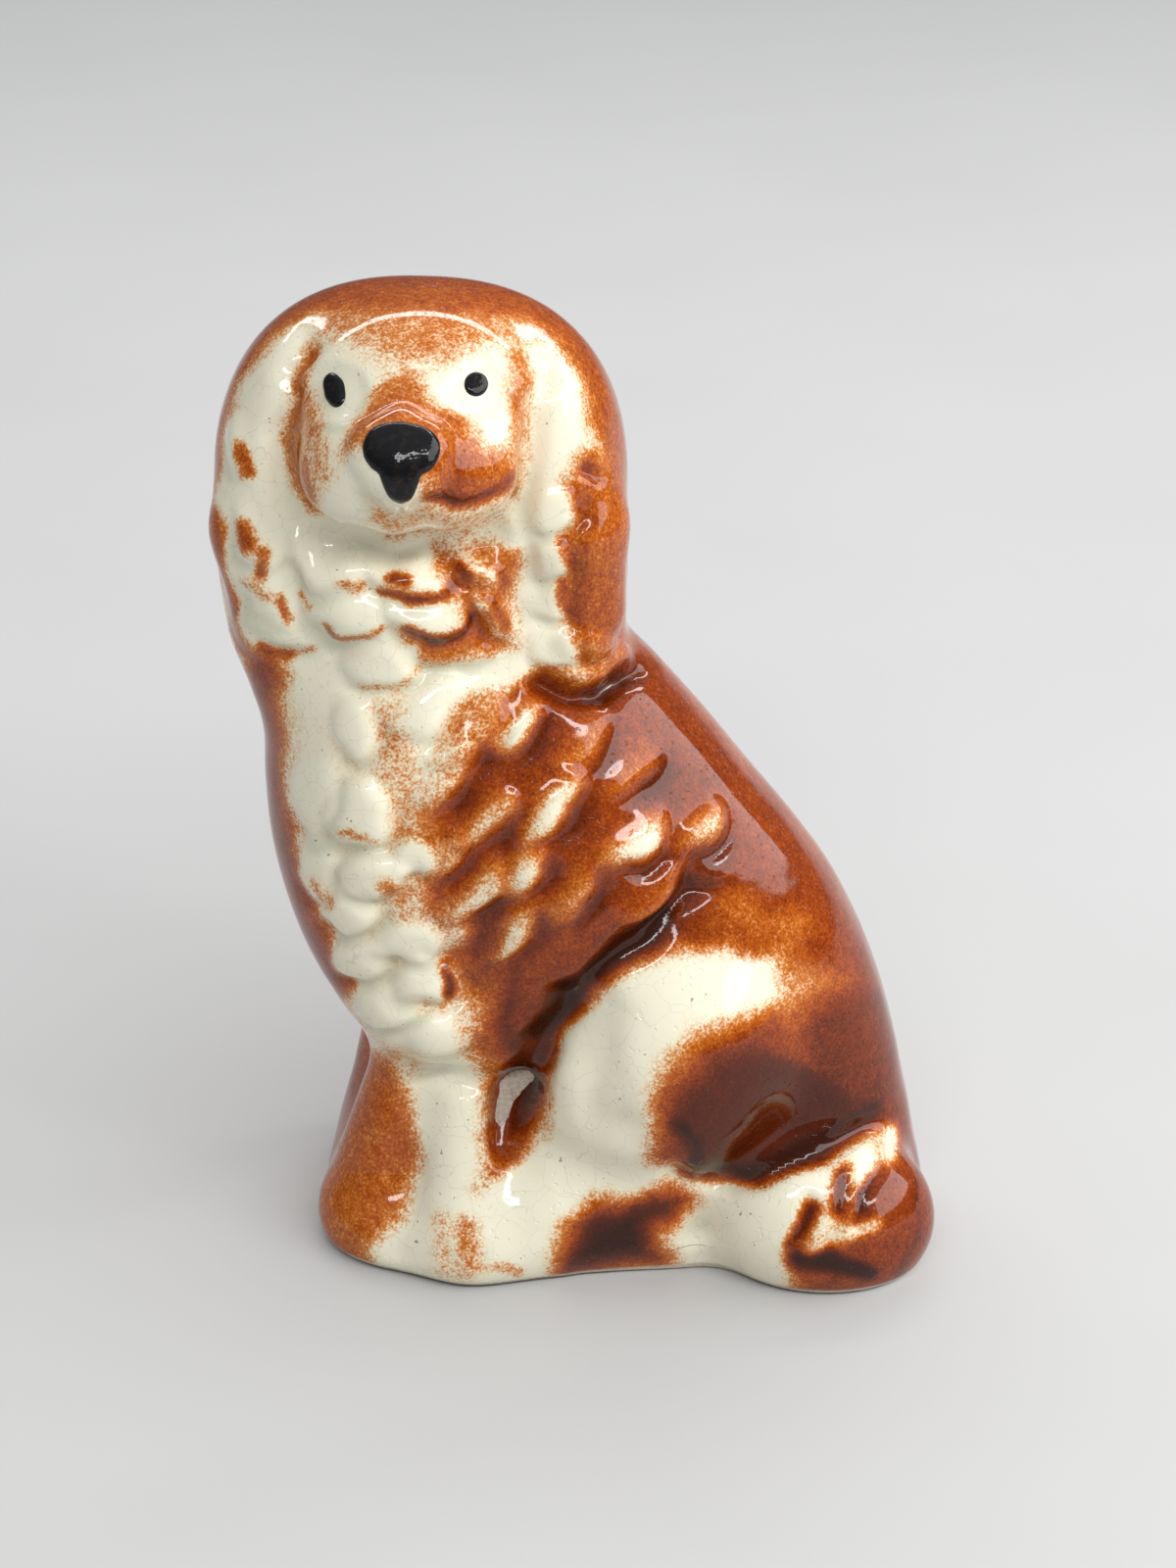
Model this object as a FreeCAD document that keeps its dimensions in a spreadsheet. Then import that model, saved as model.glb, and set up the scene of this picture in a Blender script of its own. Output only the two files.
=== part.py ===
"""Seated spaniel figurine in glazed earthenware, as a parametric FreeCAD document.

The figure is hollow ware pressed in a two-piece mould. A front moulding and a back moulding meet on the
upright plane Y = 0, where a layer of slip lutes them together. The joined shell stands on a base slab,
again bedded in slip, and the slab has the small vent hole that lets air and steam out in the kiln. Both
eyes and the nose are pads of black enamel, fired on over the glaze.

Frame: millimetres, +Z up, the face and the modelled side look along -Y, and the tail is at +X. The origin
is on the underside, near its middle and in the plane of the seam. The head overhangs the base on the -X
side.

Each sub-part is one object of the document, bound to the cells of the sheet "dims".
"""

import FreeCAD, Part

import os

DOC_NAME = "spaniel_figurine"
SHEET_NAME = "dims"
OUT_DIR = "parts"

# Upright stations of the trunk and ears: height above the floor, left and right edge, and half depth.
STATIONS = {
    "sole": (0.0, -26.4, 26.6, 13.6),
    "ankle": (7.0, -24.8, 25.4, 13.4),
    "hock": (12.5, -23.4, 24.2, 13.4),
    "belly": (19.0, -25.8, 22.5, 13.8),
    "rib": (27.0, -28.8, 19.4, 14.0),
    "chest": (36.0, -30.6, 13.8, 13.8),
    "shoulder": (44.0, -31.0, 7.8, 13.0),
    "collar": (50.5, -32.2, 2.2, 12.0),
    "ear_tip": (57.0, -34.2, -1.0, 11.6),
    "ear_middle": (64.5, -34.9, -1.4, 11.6),
    "temple": (71.5, -34.5, -2.1, 11.5),
    "forehead": (77.0, -32.7, -3.7, 10.4),
    "brow": (80.6, -29.3, -6.2, 8.4),
    "crown": (83.0, -24.6, -10.4, 5.4),
    "crown_tip": (84.2, -19.6, -15.4, 1.6),
}
HOLLOW_TOP = "forehead"  # the hollow inside the shell ends at this station

# Rounded masses that stand out of the trunk: centre x, y, z, then half width, half depth and half height.
MASSES = {
    "face": (-18.0, -6.0, 75.6, 10.3, 8.6, 7.9),
    "muzzle": (-18.4, -11.3, 74.6, 6.6, 8.0, 5.3),
    "left_jowl": (-22.6, -11.6, 72.4, 4.2, 4.3, 3.7),
    "right_jowl": (-14.0, -11.6, 72.6, 4.2, 4.3, 3.7),
    "left_ear_flap": (-30.4, -3.6, 62.5, 4.3, 8.2, 13.4),
    "right_ear_flap": (-5.6, -3.6, 65.5, 4.4, 8.4, 14.0),
    "ruff": (-18.5, -6.5, 57.0, 9.5, 7.6, 9.5),
    "breast": (-18.0, -6.0, 38.0, 12.5, 9.6, 22.0),
    "near_foreleg": (-14.0, -10.0, 13.5, 4.0, 4.4, 13.0),
    "far_foreleg": (-21.0, -6.2, 12.0, 4.2, 5.6, 12.5),
    "near_paw": (-13.6, -12.6, 3.6, 5.4, 4.6, 5.8),
    "far_paw": (-20.8, -8.6, 3.6, 5.2, 6.0, 6.2),
    "front_haunch": (5.5, -7.5, 21.0, 11.6, 9.6, 12.4),
    "front_hind_foot": (-3.0, -10.8, 6.0, 10.0, 5.0, 6.4),
    "front_tail": (17.3, -9.6, 6.4, 9.4, 7.6, 6.6),
    "back_haunch": (5.5, 6.3, 21.0, 12.4, 9.8, 12.8),
    "back_hind_foot": (-0.5, 9.6, 5.6, 11.0, 5.6, 5.6),
}

# Single sizes.
SIZES = {
    "wall": 3.0,  # thickness of the pressed clay
    "slip_layer": 0.4,  # luting slip between the mouldings, and under them
    "slab_height": 2.6,
    "vent_radius": 3.0,
    "vent_x": 9.0,
    "enamel": 0.3,  # height of the enamel pads over the glaze
    "cut_reach": 60.0,  # half side of the blocks that divide the form; wider than the figure
    "left_eye_x": -24.4,
    "left_eye_height": 79.9,
    "right_eye_x": -13.2,
    "right_eye_height": 80.4,
    "eye_half_height": 1.35,
    "eye_half_width": 0.95,
    "nose_x": -18.5,
    "nose_height": 77.2,
    "nose_half_width": 3.1,
    "nose_half_height": 1.8,
    "nose_drop_height": 74.6,
    "nose_drop_half_width": 1.5,
    "nose_drop_half_height": 2.9,
}

doc = FreeCAD.newDocument(DOC_NAME)


def fill_sheet():
    """Write every driving dimension into the sheet, each with an alias."""
    sheet = doc.addObject("Spreadsheet::Sheet", SHEET_NAME)
    cells = dict(SIZES)
    for name, values in STATIONS.items():
        cells.update(zip((f"{name}_height", f"{name}_left", f"{name}_right", f"{name}_depth"), values))
    for name, values in MASSES.items():
        keys = (f"{name}_x", f"{name}_y", f"{name}_z", f"{name}_rx", f"{name}_ry", f"{name}_rz")
        cells.update(zip(keys, values))
    for row, (alias, value) in enumerate(cells.items(), start=1):
        sheet.set(f"A{row}", alias)
        sheet.set(f"B{row}", str(value))
        sheet.setAlias(f"B{row}", alias)
    doc.recompute()
    return sheet


def bind(obj, **expressions):
    """Bind properties to expressions; a double underscore in a key stands for a dot."""
    for key, expression in expressions.items():
        obj.setExpression(key.replace("__", "."), str(expression))
    return obj


def cell(alias):
    """The way an expression names a cell."""
    return f"{SHEET_NAME}.{alias}"


def named(kind, label):
    """A new object of that kind, with that name and label."""
    obj = doc.addObject(kind, label)
    obj.Label = label
    return obj


def trunk_section(name, inset, label, height=None):
    """Ellipse across the trunk at one station, drawn in by the inset expression."""
    left, right, depth = cell(f"{name}_left"), cell(f"{name}_right"), cell(f"{name}_depth")
    ring = named("Part::Ellipse", label)
    return bind(
        ring,
        MajorRadius=f"({right} - {left}) / 2 - {inset}",
        MinorRadius=f"{depth} - {inset}",
        Placement__Base__x=f"({right} + {left}) / 2",
        Placement__Base__z=height or cell(f"{name}_height"),
    )


def trunk(label, top, inset="0", bottom=None):
    """Loft through the stations, from the sole or a stated bottom up to the top station."""
    names = list(STATIONS)
    rings = [
        trunk_section(name, inset, f"{label}_{name}", bottom if name == "sole" else None)
        for name in names[: names.index(top) + 1]
    ]
    loft = named("Part::Loft", label)
    loft.Sections = rings
    loft.Solid = True
    return loft


def mass(name, label=None, grow="0"):
    """One rounded mass as an ellipsoid, grown on all sides by an expression."""
    body = named("Part::Ellipsoid", label or name)
    body.Angle1, body.Angle2, body.Angle3 = -90, 90, 360
    return bind(
        body,
        Radius1=f"{cell(name + '_rz')} + {grow}",
        Radius2=f"{cell(name + '_rx')} + {grow}",
        Radius3=f"{cell(name + '_ry')} + {grow}",
        Placement__Base__x=cell(f"{name}_x"),
        Placement__Base__y=cell(f"{name}_y"),
        Placement__Base__z=cell(f"{name}_z"),
    )


def fuse(label, shapes):
    """Union of several objects."""
    union = named("Part::MultiFuse", label)
    union.Shapes = shapes
    return union


def common(label, base, tool):
    """Part of base that lies inside tool."""
    both = named("Part::Common", label)
    both.Base, both.Tool = base, tool
    return both


def cut(label, base, tool):
    """Part of base that lies outside tool."""
    rest = named("Part::Cut", label)
    rest.Base, rest.Tool = base, tool
    return rest


def block(label, y_low, y_high, z_low, z_high):
    """Box over the whole figure between two depths and two heights, each given as an expression."""
    reach = cell("cut_reach")
    box = named("Part::Box", label)
    return bind(
        box,
        Length=f"2 * {reach}",
        Width=f"{y_high} - ({y_low})",
        Height=f"{z_high} - ({z_low})",
        Placement__Base__x=f"-{reach}",
        Placement__Base__y=y_low,
        Placement__Base__z=z_low,
    )


def pencil(label, mass_name, x, height, half_width, half_height):
    """Elliptical bar from the middle of one mass out along -Y, which marks out an enamel pad on it."""
    outline = named("Part::Ellipse", f"{label}_outline")
    upright = half_height_is_major(half_width, half_height)
    major, minor = (half_height, half_width) if upright else (half_width, half_height)
    bind(
        outline,
        MajorRadius=cell(major),
        MinorRadius=cell(minor),
        Placement__Base__x=cell(x),
        Placement__Base__y=cell(f"{mass_name}_y"),
        Placement__Base__z=cell(height),
    )
    # The ellipse's own plane is XY. Turning it about X stands it upright; turning it about Z first swaps
    # its long side from X to the height.
    stand = FreeCAD.Rotation(FreeCAD.Vector(1, 0, 0), 90)
    turn = FreeCAD.Rotation(FreeCAD.Vector(0, 0, 1), 90 if upright else 0)
    outline.Placement = FreeCAD.Placement(FreeCAD.Vector(), stand * turn)
    bar = named("Part::Extrusion", label)
    bar.Base = outline
    bar.DirMode = "Custom"
    bar.Dir = FreeCAD.Vector(0, -1, 0)
    bar.Solid = True
    return bind(bar, LengthFwd=cell("cut_reach"))


def pad(label, mass_name, bar):
    """Enamel pad: the bar, between one mass and the same mass grown by the enamel's thickness."""
    skin = mass(mass_name, f"{label}_skin", grow=cell("enamel"))
    return cut(label, common(f"{label}_cap", skin, bar), doc.getObject(mass_name))


def half_height_is_major(half_width, half_height):
    """Whether the pad is taller than it is wide."""
    return SIZES[half_height] > SIZES[half_width]


def main():
    """Build the document, check it and write one STEP file for each sub-part."""
    fill_sheet()

    # Whole outer form, and the hollow inside it.
    form = fuse("form", [trunk("trunk", "crown_tip")] + [mass(name) for name in MASSES])
    floor_of_hollow = f"{cell('slab_height')} + {cell('slip_layer')}"
    hollow = trunk("hollow", HOLLOW_TOP, inset=cell("wall"), bottom=floor_of_hollow)
    shell = cut("shell", form, hollow)

    # The shell is divided at the seam, the base joint and the slab.
    reach, half_slip = cell("cut_reach"), f"{cell('slip_layer')} / 2"
    top = f"2 * {reach}"
    front_block = block("front_block", f"-{reach}", f"-{half_slip}", floor_of_hollow, top)
    back_block = block("back_block", half_slip, reach, floor_of_hollow, top)
    seam_block = block("seam_block", f"-{half_slip}", half_slip, floor_of_hollow, top)
    bed_block = block("bed_block", f"-{reach}", reach, cell("slab_height"), floor_of_hollow)
    slab_block = block("slab_block", f"-{reach}", reach, "0", cell("slab_height"))

    front = common("front_moulding", shell, front_block)
    back = common("back_moulding", shell, back_block)
    seam = common("seam_slip", shell, seam_block)

    # The slip bed runs under the wall only, so the hollow's foot is taken out of it.
    foot = trunk_section("sole", cell("wall"), "foot_of_hollow")
    foot_bar = named("Part::Extrusion", "foot_bar")
    foot_bar.Base = foot
    foot_bar.DirMode = "Custom"
    foot_bar.Dir = FreeCAD.Vector(0, 0, 1)
    foot_bar.Solid = True
    bind(foot_bar, LengthFwd=floor_of_hollow)
    bed = cut("base_slip", common("bed_sheet", form, bed_block), foot_bar)

    vent = named("Part::Cylinder", "vent")
    bind(vent, Radius=cell("vent_radius"), Height=cell("slab_height"), Placement__Base__x=cell("vent_x"))
    slab = cut("base_slab", common("slab_sheet", form, slab_block), vent)

    eyes = []
    for side in ("left", "right"):
        names = (f"{side}_eye_x", f"{side}_eye_height", "eye_half_width", "eye_half_height")
        eyes.append(pad(f"{side}_eye", "face", pencil(f"{side}_eye_bar", "face", *names)))
    top_names = ("nose_x", "nose_height", "nose_half_width", "nose_half_height")
    drop_names = ("nose_x", "nose_drop_height", "nose_drop_half_width", "nose_drop_half_height")
    nose_bars = [pencil("nose_top_bar", "muzzle", *top_names), pencil("nose_drop_bar", "muzzle", *drop_names)]
    nose = pad("nose", "muzzle", fuse("nose_bar", nose_bars))

    doc.recompute()
    check_document()
    write_parts([front, back, seam, bed, slab, *eyes, nose])


def check_document():
    """Stop on any failed object."""
    for obj in doc.Objects:
        if "Invalid" in obj.State or "Error" in obj.State:
            raise RuntimeError(f"{obj.Label} failed: {obj.State}")


def write_parts(sub_parts):
    """Check each sub-part's shape and write its STEP file."""
    os.makedirs(OUT_DIR, exist_ok=True)
    for part in sub_parts:
        shape = part.Shape
        if shape.isNull() or not shape.isValid() or not shape.Solids:
            raise RuntimeError(f"{part.Label} has no valid solid")
        box = shape.optimalBoundingBox()
        extent = f"{box.XLength:.1f} x {box.YLength:.1f} x {box.ZLength:.1f} mm"
        print(f"{part.Label}: {len(shape.Solids)} solid(s), {shape.Volume:.1f} mm3, {extent}")
        shape.exportStep(os.path.join(OUT_DIR, f"{part.Label}.step"))


main()
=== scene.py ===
"""Seated spaniel figurine in glazed earthenware: the finished surfaces, colours and studio.

The figurine was pressed in a two-part mould, so its skin is modelled as a mould-maker would: plain clay
masses are joined smoothly, the locks of hair, ear edges and creases are pressed into them as relief, and the
iron slip is dabbed on as a colour map, which also holds painted shade in the grooves and low on the haunch.
Lengths are millimetres until a mesh is made, which is in metres.
+Z is up, +X points to the tail, and -Y is the side that the face looks towards.
"""

import logging
import math
from collections.abc import Callable
from dataclasses import dataclass, field
from enum import Enum

import bpy
import numpy as np
from mathutils import Matrix, Vector


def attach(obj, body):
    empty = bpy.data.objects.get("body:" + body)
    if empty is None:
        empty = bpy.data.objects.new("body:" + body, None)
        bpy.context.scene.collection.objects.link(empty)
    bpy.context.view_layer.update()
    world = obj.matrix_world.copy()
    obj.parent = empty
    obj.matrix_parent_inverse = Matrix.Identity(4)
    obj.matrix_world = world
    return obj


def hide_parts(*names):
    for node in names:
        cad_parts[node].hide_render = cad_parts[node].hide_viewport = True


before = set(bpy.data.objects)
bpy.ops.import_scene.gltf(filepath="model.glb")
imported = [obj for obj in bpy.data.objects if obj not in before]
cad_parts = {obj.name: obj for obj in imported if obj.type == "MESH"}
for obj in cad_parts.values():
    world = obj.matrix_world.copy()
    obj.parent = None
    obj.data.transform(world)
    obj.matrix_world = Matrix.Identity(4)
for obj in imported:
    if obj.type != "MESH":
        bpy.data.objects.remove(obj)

Array = np.ndarray
Triple = tuple[float, float, float]
Point = tuple[float, float]

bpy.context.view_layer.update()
MM = 0.001  # one millimetre in metres
log = logging.getLogger("spaniel")


# ---------------------------------------------------------------- curves and blends


def through(at: Array, knots: tuple[float, ...], values: tuple[float, ...]) -> Array:
    """Smooth curve through given values: a cubic per span, whose slope at a knot is the mean of its chords.

    Args:
        at: where the curve is read.
        knots: rising positions of the known values.
        values: the value at each knot.

    Returns:
        The curve's value at each place, constant beyond both ends.
    """
    knot, value = np.asarray(knots, float), np.asarray(values, float)
    widths = np.diff(knot)
    chords = np.diff(value) / widths
    slopes = np.concatenate(([chords[0]], (chords[:-1] + chords[1:]) / 2, [chords[-1]]))
    span = np.clip(np.searchsorted(knot, at, side="right") - 1, 0, len(widths) - 1)
    t = np.clip((at - knot[span]) / widths[span], 0, 1)
    s = 1 - t
    return (
        value[span] * (1 + 2 * t) * s * s
        + value[span + 1] * (1 + 2 * s) * t * t
        + widths[span] * t * s * (slopes[span] * s - slopes[span + 1] * t)
    )


def ease(value: Array, low: float, high: float) -> Array:
    """Smooth step from 0 at low to 1 at high: three t squared less two t cubed.

    Args:
        value: values, or one value.
        low: where the step leaves 0.
        high: where it reaches 1.

    Returns:
        The step at each value.
    """
    t = np.clip((value - low) / (high - low), 0, 1)
    return t * t * (3 - 2 * t)


def join(a: Array, b: Array, blend: float) -> Array:
    """Smooth lesser of two distances, which fills the crease between two masses over the blend length.

    Args:
        a: first distances.
        b: second distances.
        blend: length over which the two run together.

    Returns:
        The joined distances.
    """
    h = np.clip(0.5 + 0.5 * (b - a) / blend, 0, 1)
    return b + (a - b) * h - blend * h * (1 - h)


# ---------------------------------------------------------------- clay masses


@dataclass(frozen=True)
class Trunk:
    """Core of the figurine: a stack of level rounded slices, closed by a dome over the head.

    Each slice is the curve |x/a|^n + |y/b|^n = 1, and in the dome the height takes part in the same way.
    """

    heights: tuple[float, ...]
    left: tuple[float, ...]
    right: tuple[float, ...]
    front: tuple[float, ...]
    back: tuple[float, ...]
    dome_foot: float = 67.0
    dome_rise: float = 17.2
    fullness: float = 2.4

    def distance(self, p: Array) -> Array:
        """Distance to the skin: (k - 1) over the length of k's slope, k being the slice's radius ratio.

        Args:
            p: points, one in each row.

        Returns:
            Approximate distances, negative inside.
        """
        z = np.minimum(p[:, 2], self.dome_foot)
        left, right = through(z, self.heights, self.left), through(z, self.heights, self.right)
        front, back = through(z, self.heights, self.front), through(z, self.heights, self.back)
        a, b = (right - left) / 2, np.where(p[:, 1] < 0, front, back)
        n = self.fullness
        u = np.abs(p[:, 0] - (left + right) / 2) / a
        v = np.abs(p[:, 1]) / b
        w = np.maximum(p[:, 2] - self.dome_foot, 0) / self.dome_rise
        k = np.maximum((u**n + v**n + w**n) ** (1 / n), 1e-6)
        m = n - 1
        slope = np.sqrt((u**m / a) ** 2 + (v**m / b) ** 2 + (w**m / self.dome_rise) ** 2)
        return (k - 1) * k ** (n - 1) / np.maximum(slope, 1e-4)


@dataclass(frozen=True)
class Mass:
    """Rounded mass: an ellipsoid, which may be turned about the depth axis.

    Its distance is k (k - 1) over m, where k is the length of p / r and m the length of p / r squared.
    """

    centre: Triple
    radii: Triple
    turn: float = 0.0
    blend: float = 2.0

    def distance(self, p: Array) -> Array:
        """Approximate distance of each point to the ellipsoid.

        Args:
            p: points.

        Returns:
            A distance for each point, negative inside.
        """
        q = p - np.array(self.centre)
        if self.turn:
            c, s = math.cos(math.radians(self.turn)), math.sin(math.radians(self.turn))
            q = np.stack([c * q[:, 0] + s * q[:, 2], q[:, 1], c * q[:, 2] - s * q[:, 0]], axis=1)
        q /= np.array(self.radii)
        k = np.sqrt(np.einsum("ij,ij->i", q, q))
        q /= np.array(self.radii)
        return k * (k - 1) / np.maximum(np.sqrt(np.einsum("ij,ij->i", q, q)), 1e-6)


@dataclass(frozen=True)
class Limb:
    """Tapering limb: points within a radius of a line, the radius running evenly from end to end."""

    start: Triple
    end: Triple
    start_radius: float
    end_radius: float
    blend: float = 2.0

    def distance(self, p: Array) -> Array:
        """Distance of each point to the line, less the radius at the nearest place on it.

        Args:
            p: points.

        Returns:
            A distance for each point, negative inside.
        """
        a, run = np.array(self.start), np.subtract(self.end, self.start)
        q = p - a
        t = np.clip(q @ run / (run @ run), 0, 1)
        q -= t[:, None] * run
        return np.sqrt(np.einsum("ij,ij->i", q,
                                 q)) - (self.start_radius + t * (self.end_radius - self.start_radius))


TRUNK = Trunk(
    heights=(0, 4, 7, 10, 13.3, 16, 19, 22.5, 27, 32, 36.5, 41.5, 46, 50.5, 54, 57.5, 61, 67),
    left=(-26.4, -25.6, -24.2, -22.0, -20.2, -21.4, -23.4, -25.5, -27.6, -29.4, -30.5, -31.0, -31.2, -32.5,
          -33.8, -34.4, -34.8, -34.9),
    right=(26.7, 26.0, 25.3, 24.7, 23.9, 23.3, 22.5, 21.4, 19.6, 17.0, 13.8, 9.7, 6.1, 2.2,
           -0.9, -1.3, -1.3, -1.5),
    front=(12.4, 12.2, 12.0, 11.8, 11.8, 12.0, 12.4, 12.8, 13.0, 12.8, 12.4, 11.8, 11.2, 10.6, 10.2, 10.0,
           10.0, 10.2),
    back=(13.2, 13.0, 12.8, 12.8, 12.8, 13.0, 13.2, 13.4, 13.4, 13.2, 12.8, 12.4, 12.0, 11.6, 11.3, 11.2,
          11.2, 11.2),
)

FRONT_MASSES = {
    "brow": Mass((-18.0, -4.4, 76.4), (10.4, 9.2, 8.0), blend=1.4),
    "muzzle": Mass((-18.4, -11.0, 75.0), (7.0, 8.0, 5.0), blend=2.8),
    "left_jowl": Mass((-22.0, -10.9, 73.0), (5.2, 6.0, 4.4), blend=2.0),
    "right_jowl": Mass((-14.8, -10.9, 73.2), (5.2, 6.0, 4.4), blend=2.0),
    "chin": Mass((-18.4, -11.0, 71.2), (6.4, 5.2, 3.0), blend=1.4),
    "left_ear": Limb((-27.6, -4.4, 77), (-30.6, -4.8, 65), 2.6, 4.0, blend=2.4),
    "left_ear_end": Limb((-30.6, -4.8, 65), (-29.4, -4.8, 57.4), 4.0, 3.6, blend=1.0),
    "right_ear": Limb((-8.6, -4.8, 77), (-5.9, -5.2, 66), 2.8, 4.3, blend=2.4),
    "right_ear_end": Limb((-5.9, -5.2, 66), (-5.6, -4.6, 59), 4.3, 4.2, blend=1.0),
    "ruff": Mass((-18.6, -4.4, 61.0), (10.0, 7.6, 7.4), blend=2.0),
    "breast": Mass((-18.8, -4.0, 41.0), (10.4, 10.4, 21.0), blend=3.0),
    "breast_foot": Mass((-16.6, -5.2, 24.5), (7.0, 8.8, 7.4), blend=2.0),
    "shoulder": Mass((-6.5, -4.8, 37.0), (10.0, 9.4, 18.5), turn=26.0, blend=4.0),
    "near_foreleg": Limb((-13.6, -7.8, 15), (-13.4, -11.2, 4), 3.6, 4.4, blend=1.6),
    "near_paw": Mass((-12.8, -10.6, 2.6), (7.0, 6.2, 4.6), blend=2.4),
    "far_foreleg": Limb((-17.6, -5.0, 19), (-20.4, -6.6, 3), 3.4, 5.6, blend=2.4),
    "far_paw": Mass((-18.6, -7.4, 2.0), (7.2, 7.0, 4.4), blend=2.4),
    "haunch": Mass((2.4, -6.8, 19.6), (12.0, 10.2, 13.2), turn=-6.0, blend=2.4),
    "foot": Limb((-5.6, -10.0, 4.8), (1.5, -9.2, 6.0), 5.6, 5.2, blend=4.0),
    "tail": Mass((16.6, -9.0, 4.6), (10.2, 8.0, 8.0), turn=-10.0, blend=2.2),
}
BACK_MASSES = {
    "back_haunch": Mass((4.8, 6.4, 20.0), (12.0, 9.4, 12.6), turn=-14.0, blend=3.0),
    "back_foot": Limb((-6.0, 9.4, 5.0), (4.0, 9.6, 5.2), 4.6, 4.4, blend=2.6),
    "back_left_ear": Limb((-10.0, 5.6, 75), (-6.4, 6.4, 61), 3.2, 4.6, blend=2.4),
    "back_right_ear": Limb((-26.6, 5.6, 75), (-29.6, 6.4, 61), 3.2, 4.6, blend=2.4),
    "back_leg": Limb((-18.0, 4.6, 22), (-19.6, 6.6, 4), 3.8, 5.4, blend=3.0),
}


# ---------------------------------------------------------------- relief and slip, drawn on a tilted plan


TILT = math.radians(27)  # the plan leans back by this, so that the brow and the feet both show in it


class Side(Enum):
    """The two moulded sides; the value is the sign of Y there."""

    FRONT = -1
    BACK = 1


def on_plan(p: Array) -> tuple[Array, Array]:
    """Place of each point on its side's plan: x across, and z cos(tilt) - |y| sin(tilt) up.

    Args:
        p: points.

    Returns:
        Places across, and places up.
    """
    return p[:, 0], p[:, 2] * math.cos(TILT) - np.abs(p[:, 1]) * math.sin(TILT)


def along(points: tuple[Point, ...], x: Array, w: Array) -> tuple[Array, Array]:
    """Nearest distance to a line of straight runs, and how far along it that is, from 0 to 1.

    Args:
        points: corners of the line.
        x: places across.
        w: places up.

    Returns:
        The distances, and the shares of the way along.
    """
    best, place = np.full(x.shape, 1e9), np.zeros(x.shape)
    runs = len(points) - 1
    for index, ((x0, w0), (x1, w1)) in enumerate(zip(points, points[1:])):
        dx, dw = x1 - x0, w1 - w0
        t = np.clip(((x - x0) * dx + (w - w0) * dw) / (dx * dx + dw * dw), 0, 1)
        gap = np.hypot(x - x0 - t * dx, w - w0 - t * dw)
        nearer = gap < best
        best = np.where(nearer, gap, best)
        place = np.where(nearer, (index + t) / runs, place)
    return best, place


LOCK_RISE, LOCK_CUT = 0.85, 0.55  # shares of a lock's stated height and groove that the pressing keeps


@dataclass(frozen=True)
class Lock:
    """Lock of hair from root to tip, with a gentle upper side and a steep lower one over a groove."""

    root: Point
    tip: Point
    width: float
    height: float = 0.9
    groove: float = 0.5
    bare: float = 1.0  # how much of the slip was rubbed off its crest

    def reach(self) -> tuple[Point, Point]:
        """Lower and upper corner of the plan area that the lock touches."""
        return corners((self.root, self.tip), 3.0 * self.width)

    def shape(self, x: Array, w: Array) -> tuple[Array, Array, Array]:
        """Height, crest and groove: (1 - s^2) along the lock times a skew hump across it.

        Args:
            x: places across the plan.
            w: places up the plan.

        Returns:
            Height in millimetres, crest from 0 to 1, and groove from 0 to 1.
        """
        dx, dw = (self.tip[0] - self.root[0]) / 2, (self.tip[1] - self.root[1]) / 2
        half = math.hypot(dx, dw)
        down = -1.0 if dx > 0 else 1.0
        nx, nw = -dw / half * down, dx / half * down
        px, pw = x - (self.root[0] + self.tip[0]) / 2, w - (self.root[1] + self.tip[1]) / 2
        s = (px * dx + pw * dw) / half / (half + 0.25 * self.width)
        body = np.clip(1 - s * s, 0, 1)
        t = ((px * nx + pw * nw) / (1.15 * self.width) + 0.35 * s * s) / (0.5 + 0.5 * np.sqrt(body))
        hump = ease(t, -1.4, 0.2) * (1 - ease(t, 0.2, 1.1))
        # the groove also darkens the colour under the lock: pooled glaze and slip, and painted shade
        groove = body * np.exp(-(((t - 1.2) / 0.42) ** 2))
        rise = np.sqrt(body) * hump
        pressed = LOCK_RISE * self.height * rise - LOCK_CUT * self.groove * groove
        return pressed, self.bare * rise**1.5, groove


@dataclass(frozen=True)
class Curl:
    """Round curl: a low dome with a shallow moat under its lower right edge."""

    centre: Point
    radii: Point
    height: float = 0.8
    groove: float = 0.35
    bare: float = 1.0

    def reach(self) -> tuple[Point, Point]:
        """Lower and upper corner of the plan area that the curl touches."""
        return corners((self.centre,), 1.7 * max(self.radii))

    def shape(self, x: Array, w: Array) -> tuple[Array, Array, Array]:
        """Height, crest and groove: a dome (1 - q^2), and a ring at q = 1.15 on the lower side only.

        Args:
            x: places across.
            w: places up.

        Returns:
            Height, crest and groove at each place.
        """
        u, v = (x - self.centre[0]) / self.radii[0], (w - self.centre[1]) / self.radii[1]
        q = np.hypot(u, v)
        dome = np.clip(1 - q * q, 0, 1)
        dome = dome * (2 - dome)
        lower = ease(-(0.45 * -u + v) / np.maximum(q, 1e-6), -0.1, 0.8)
        # the moat also darkens the colour under the curl: pooled glaze and slip, and painted shade
        groove = np.exp(-(((q - 1.15) / 0.22) ** 2)) * lower
        return self.height * dome - self.groove * groove, self.bare * dome, groove


@dataclass(frozen=True)
class Crease:
    """Groove pressed along a line; a negative depth makes a ridge. It fades at both ends."""

    points: tuple[Point, ...]
    width: float
    depth: float
    pooling_and_shade: float = 1.0  # how much colour gathers in it: pooled glaze, and painted shade in the crease
    fade: float = 0.18

    def reach(self) -> tuple[Point, Point]:
        """Lower and upper corner of the plan area that the crease touches."""
        return corners(self.points, 2.5 * self.width)

    def shape(self, x: Array, w: Array) -> tuple[Array, Array, Array]:
        """Height, crest and groove: a bell curve across the line.

        Args:
            x: places across.
            w: places up.

        Returns:
            Height, crest and groove at each place.
        """
        gap, place = along(self.points, x, w)
        ends = ease(place, 0, self.fade) * ease(1 - place, 0, self.fade)
        bell = np.exp(-((gap / self.width) ** 2)) * ends
        return -self.depth * bell, np.zeros_like(bell), self.pooling_and_shade * bell


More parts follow.
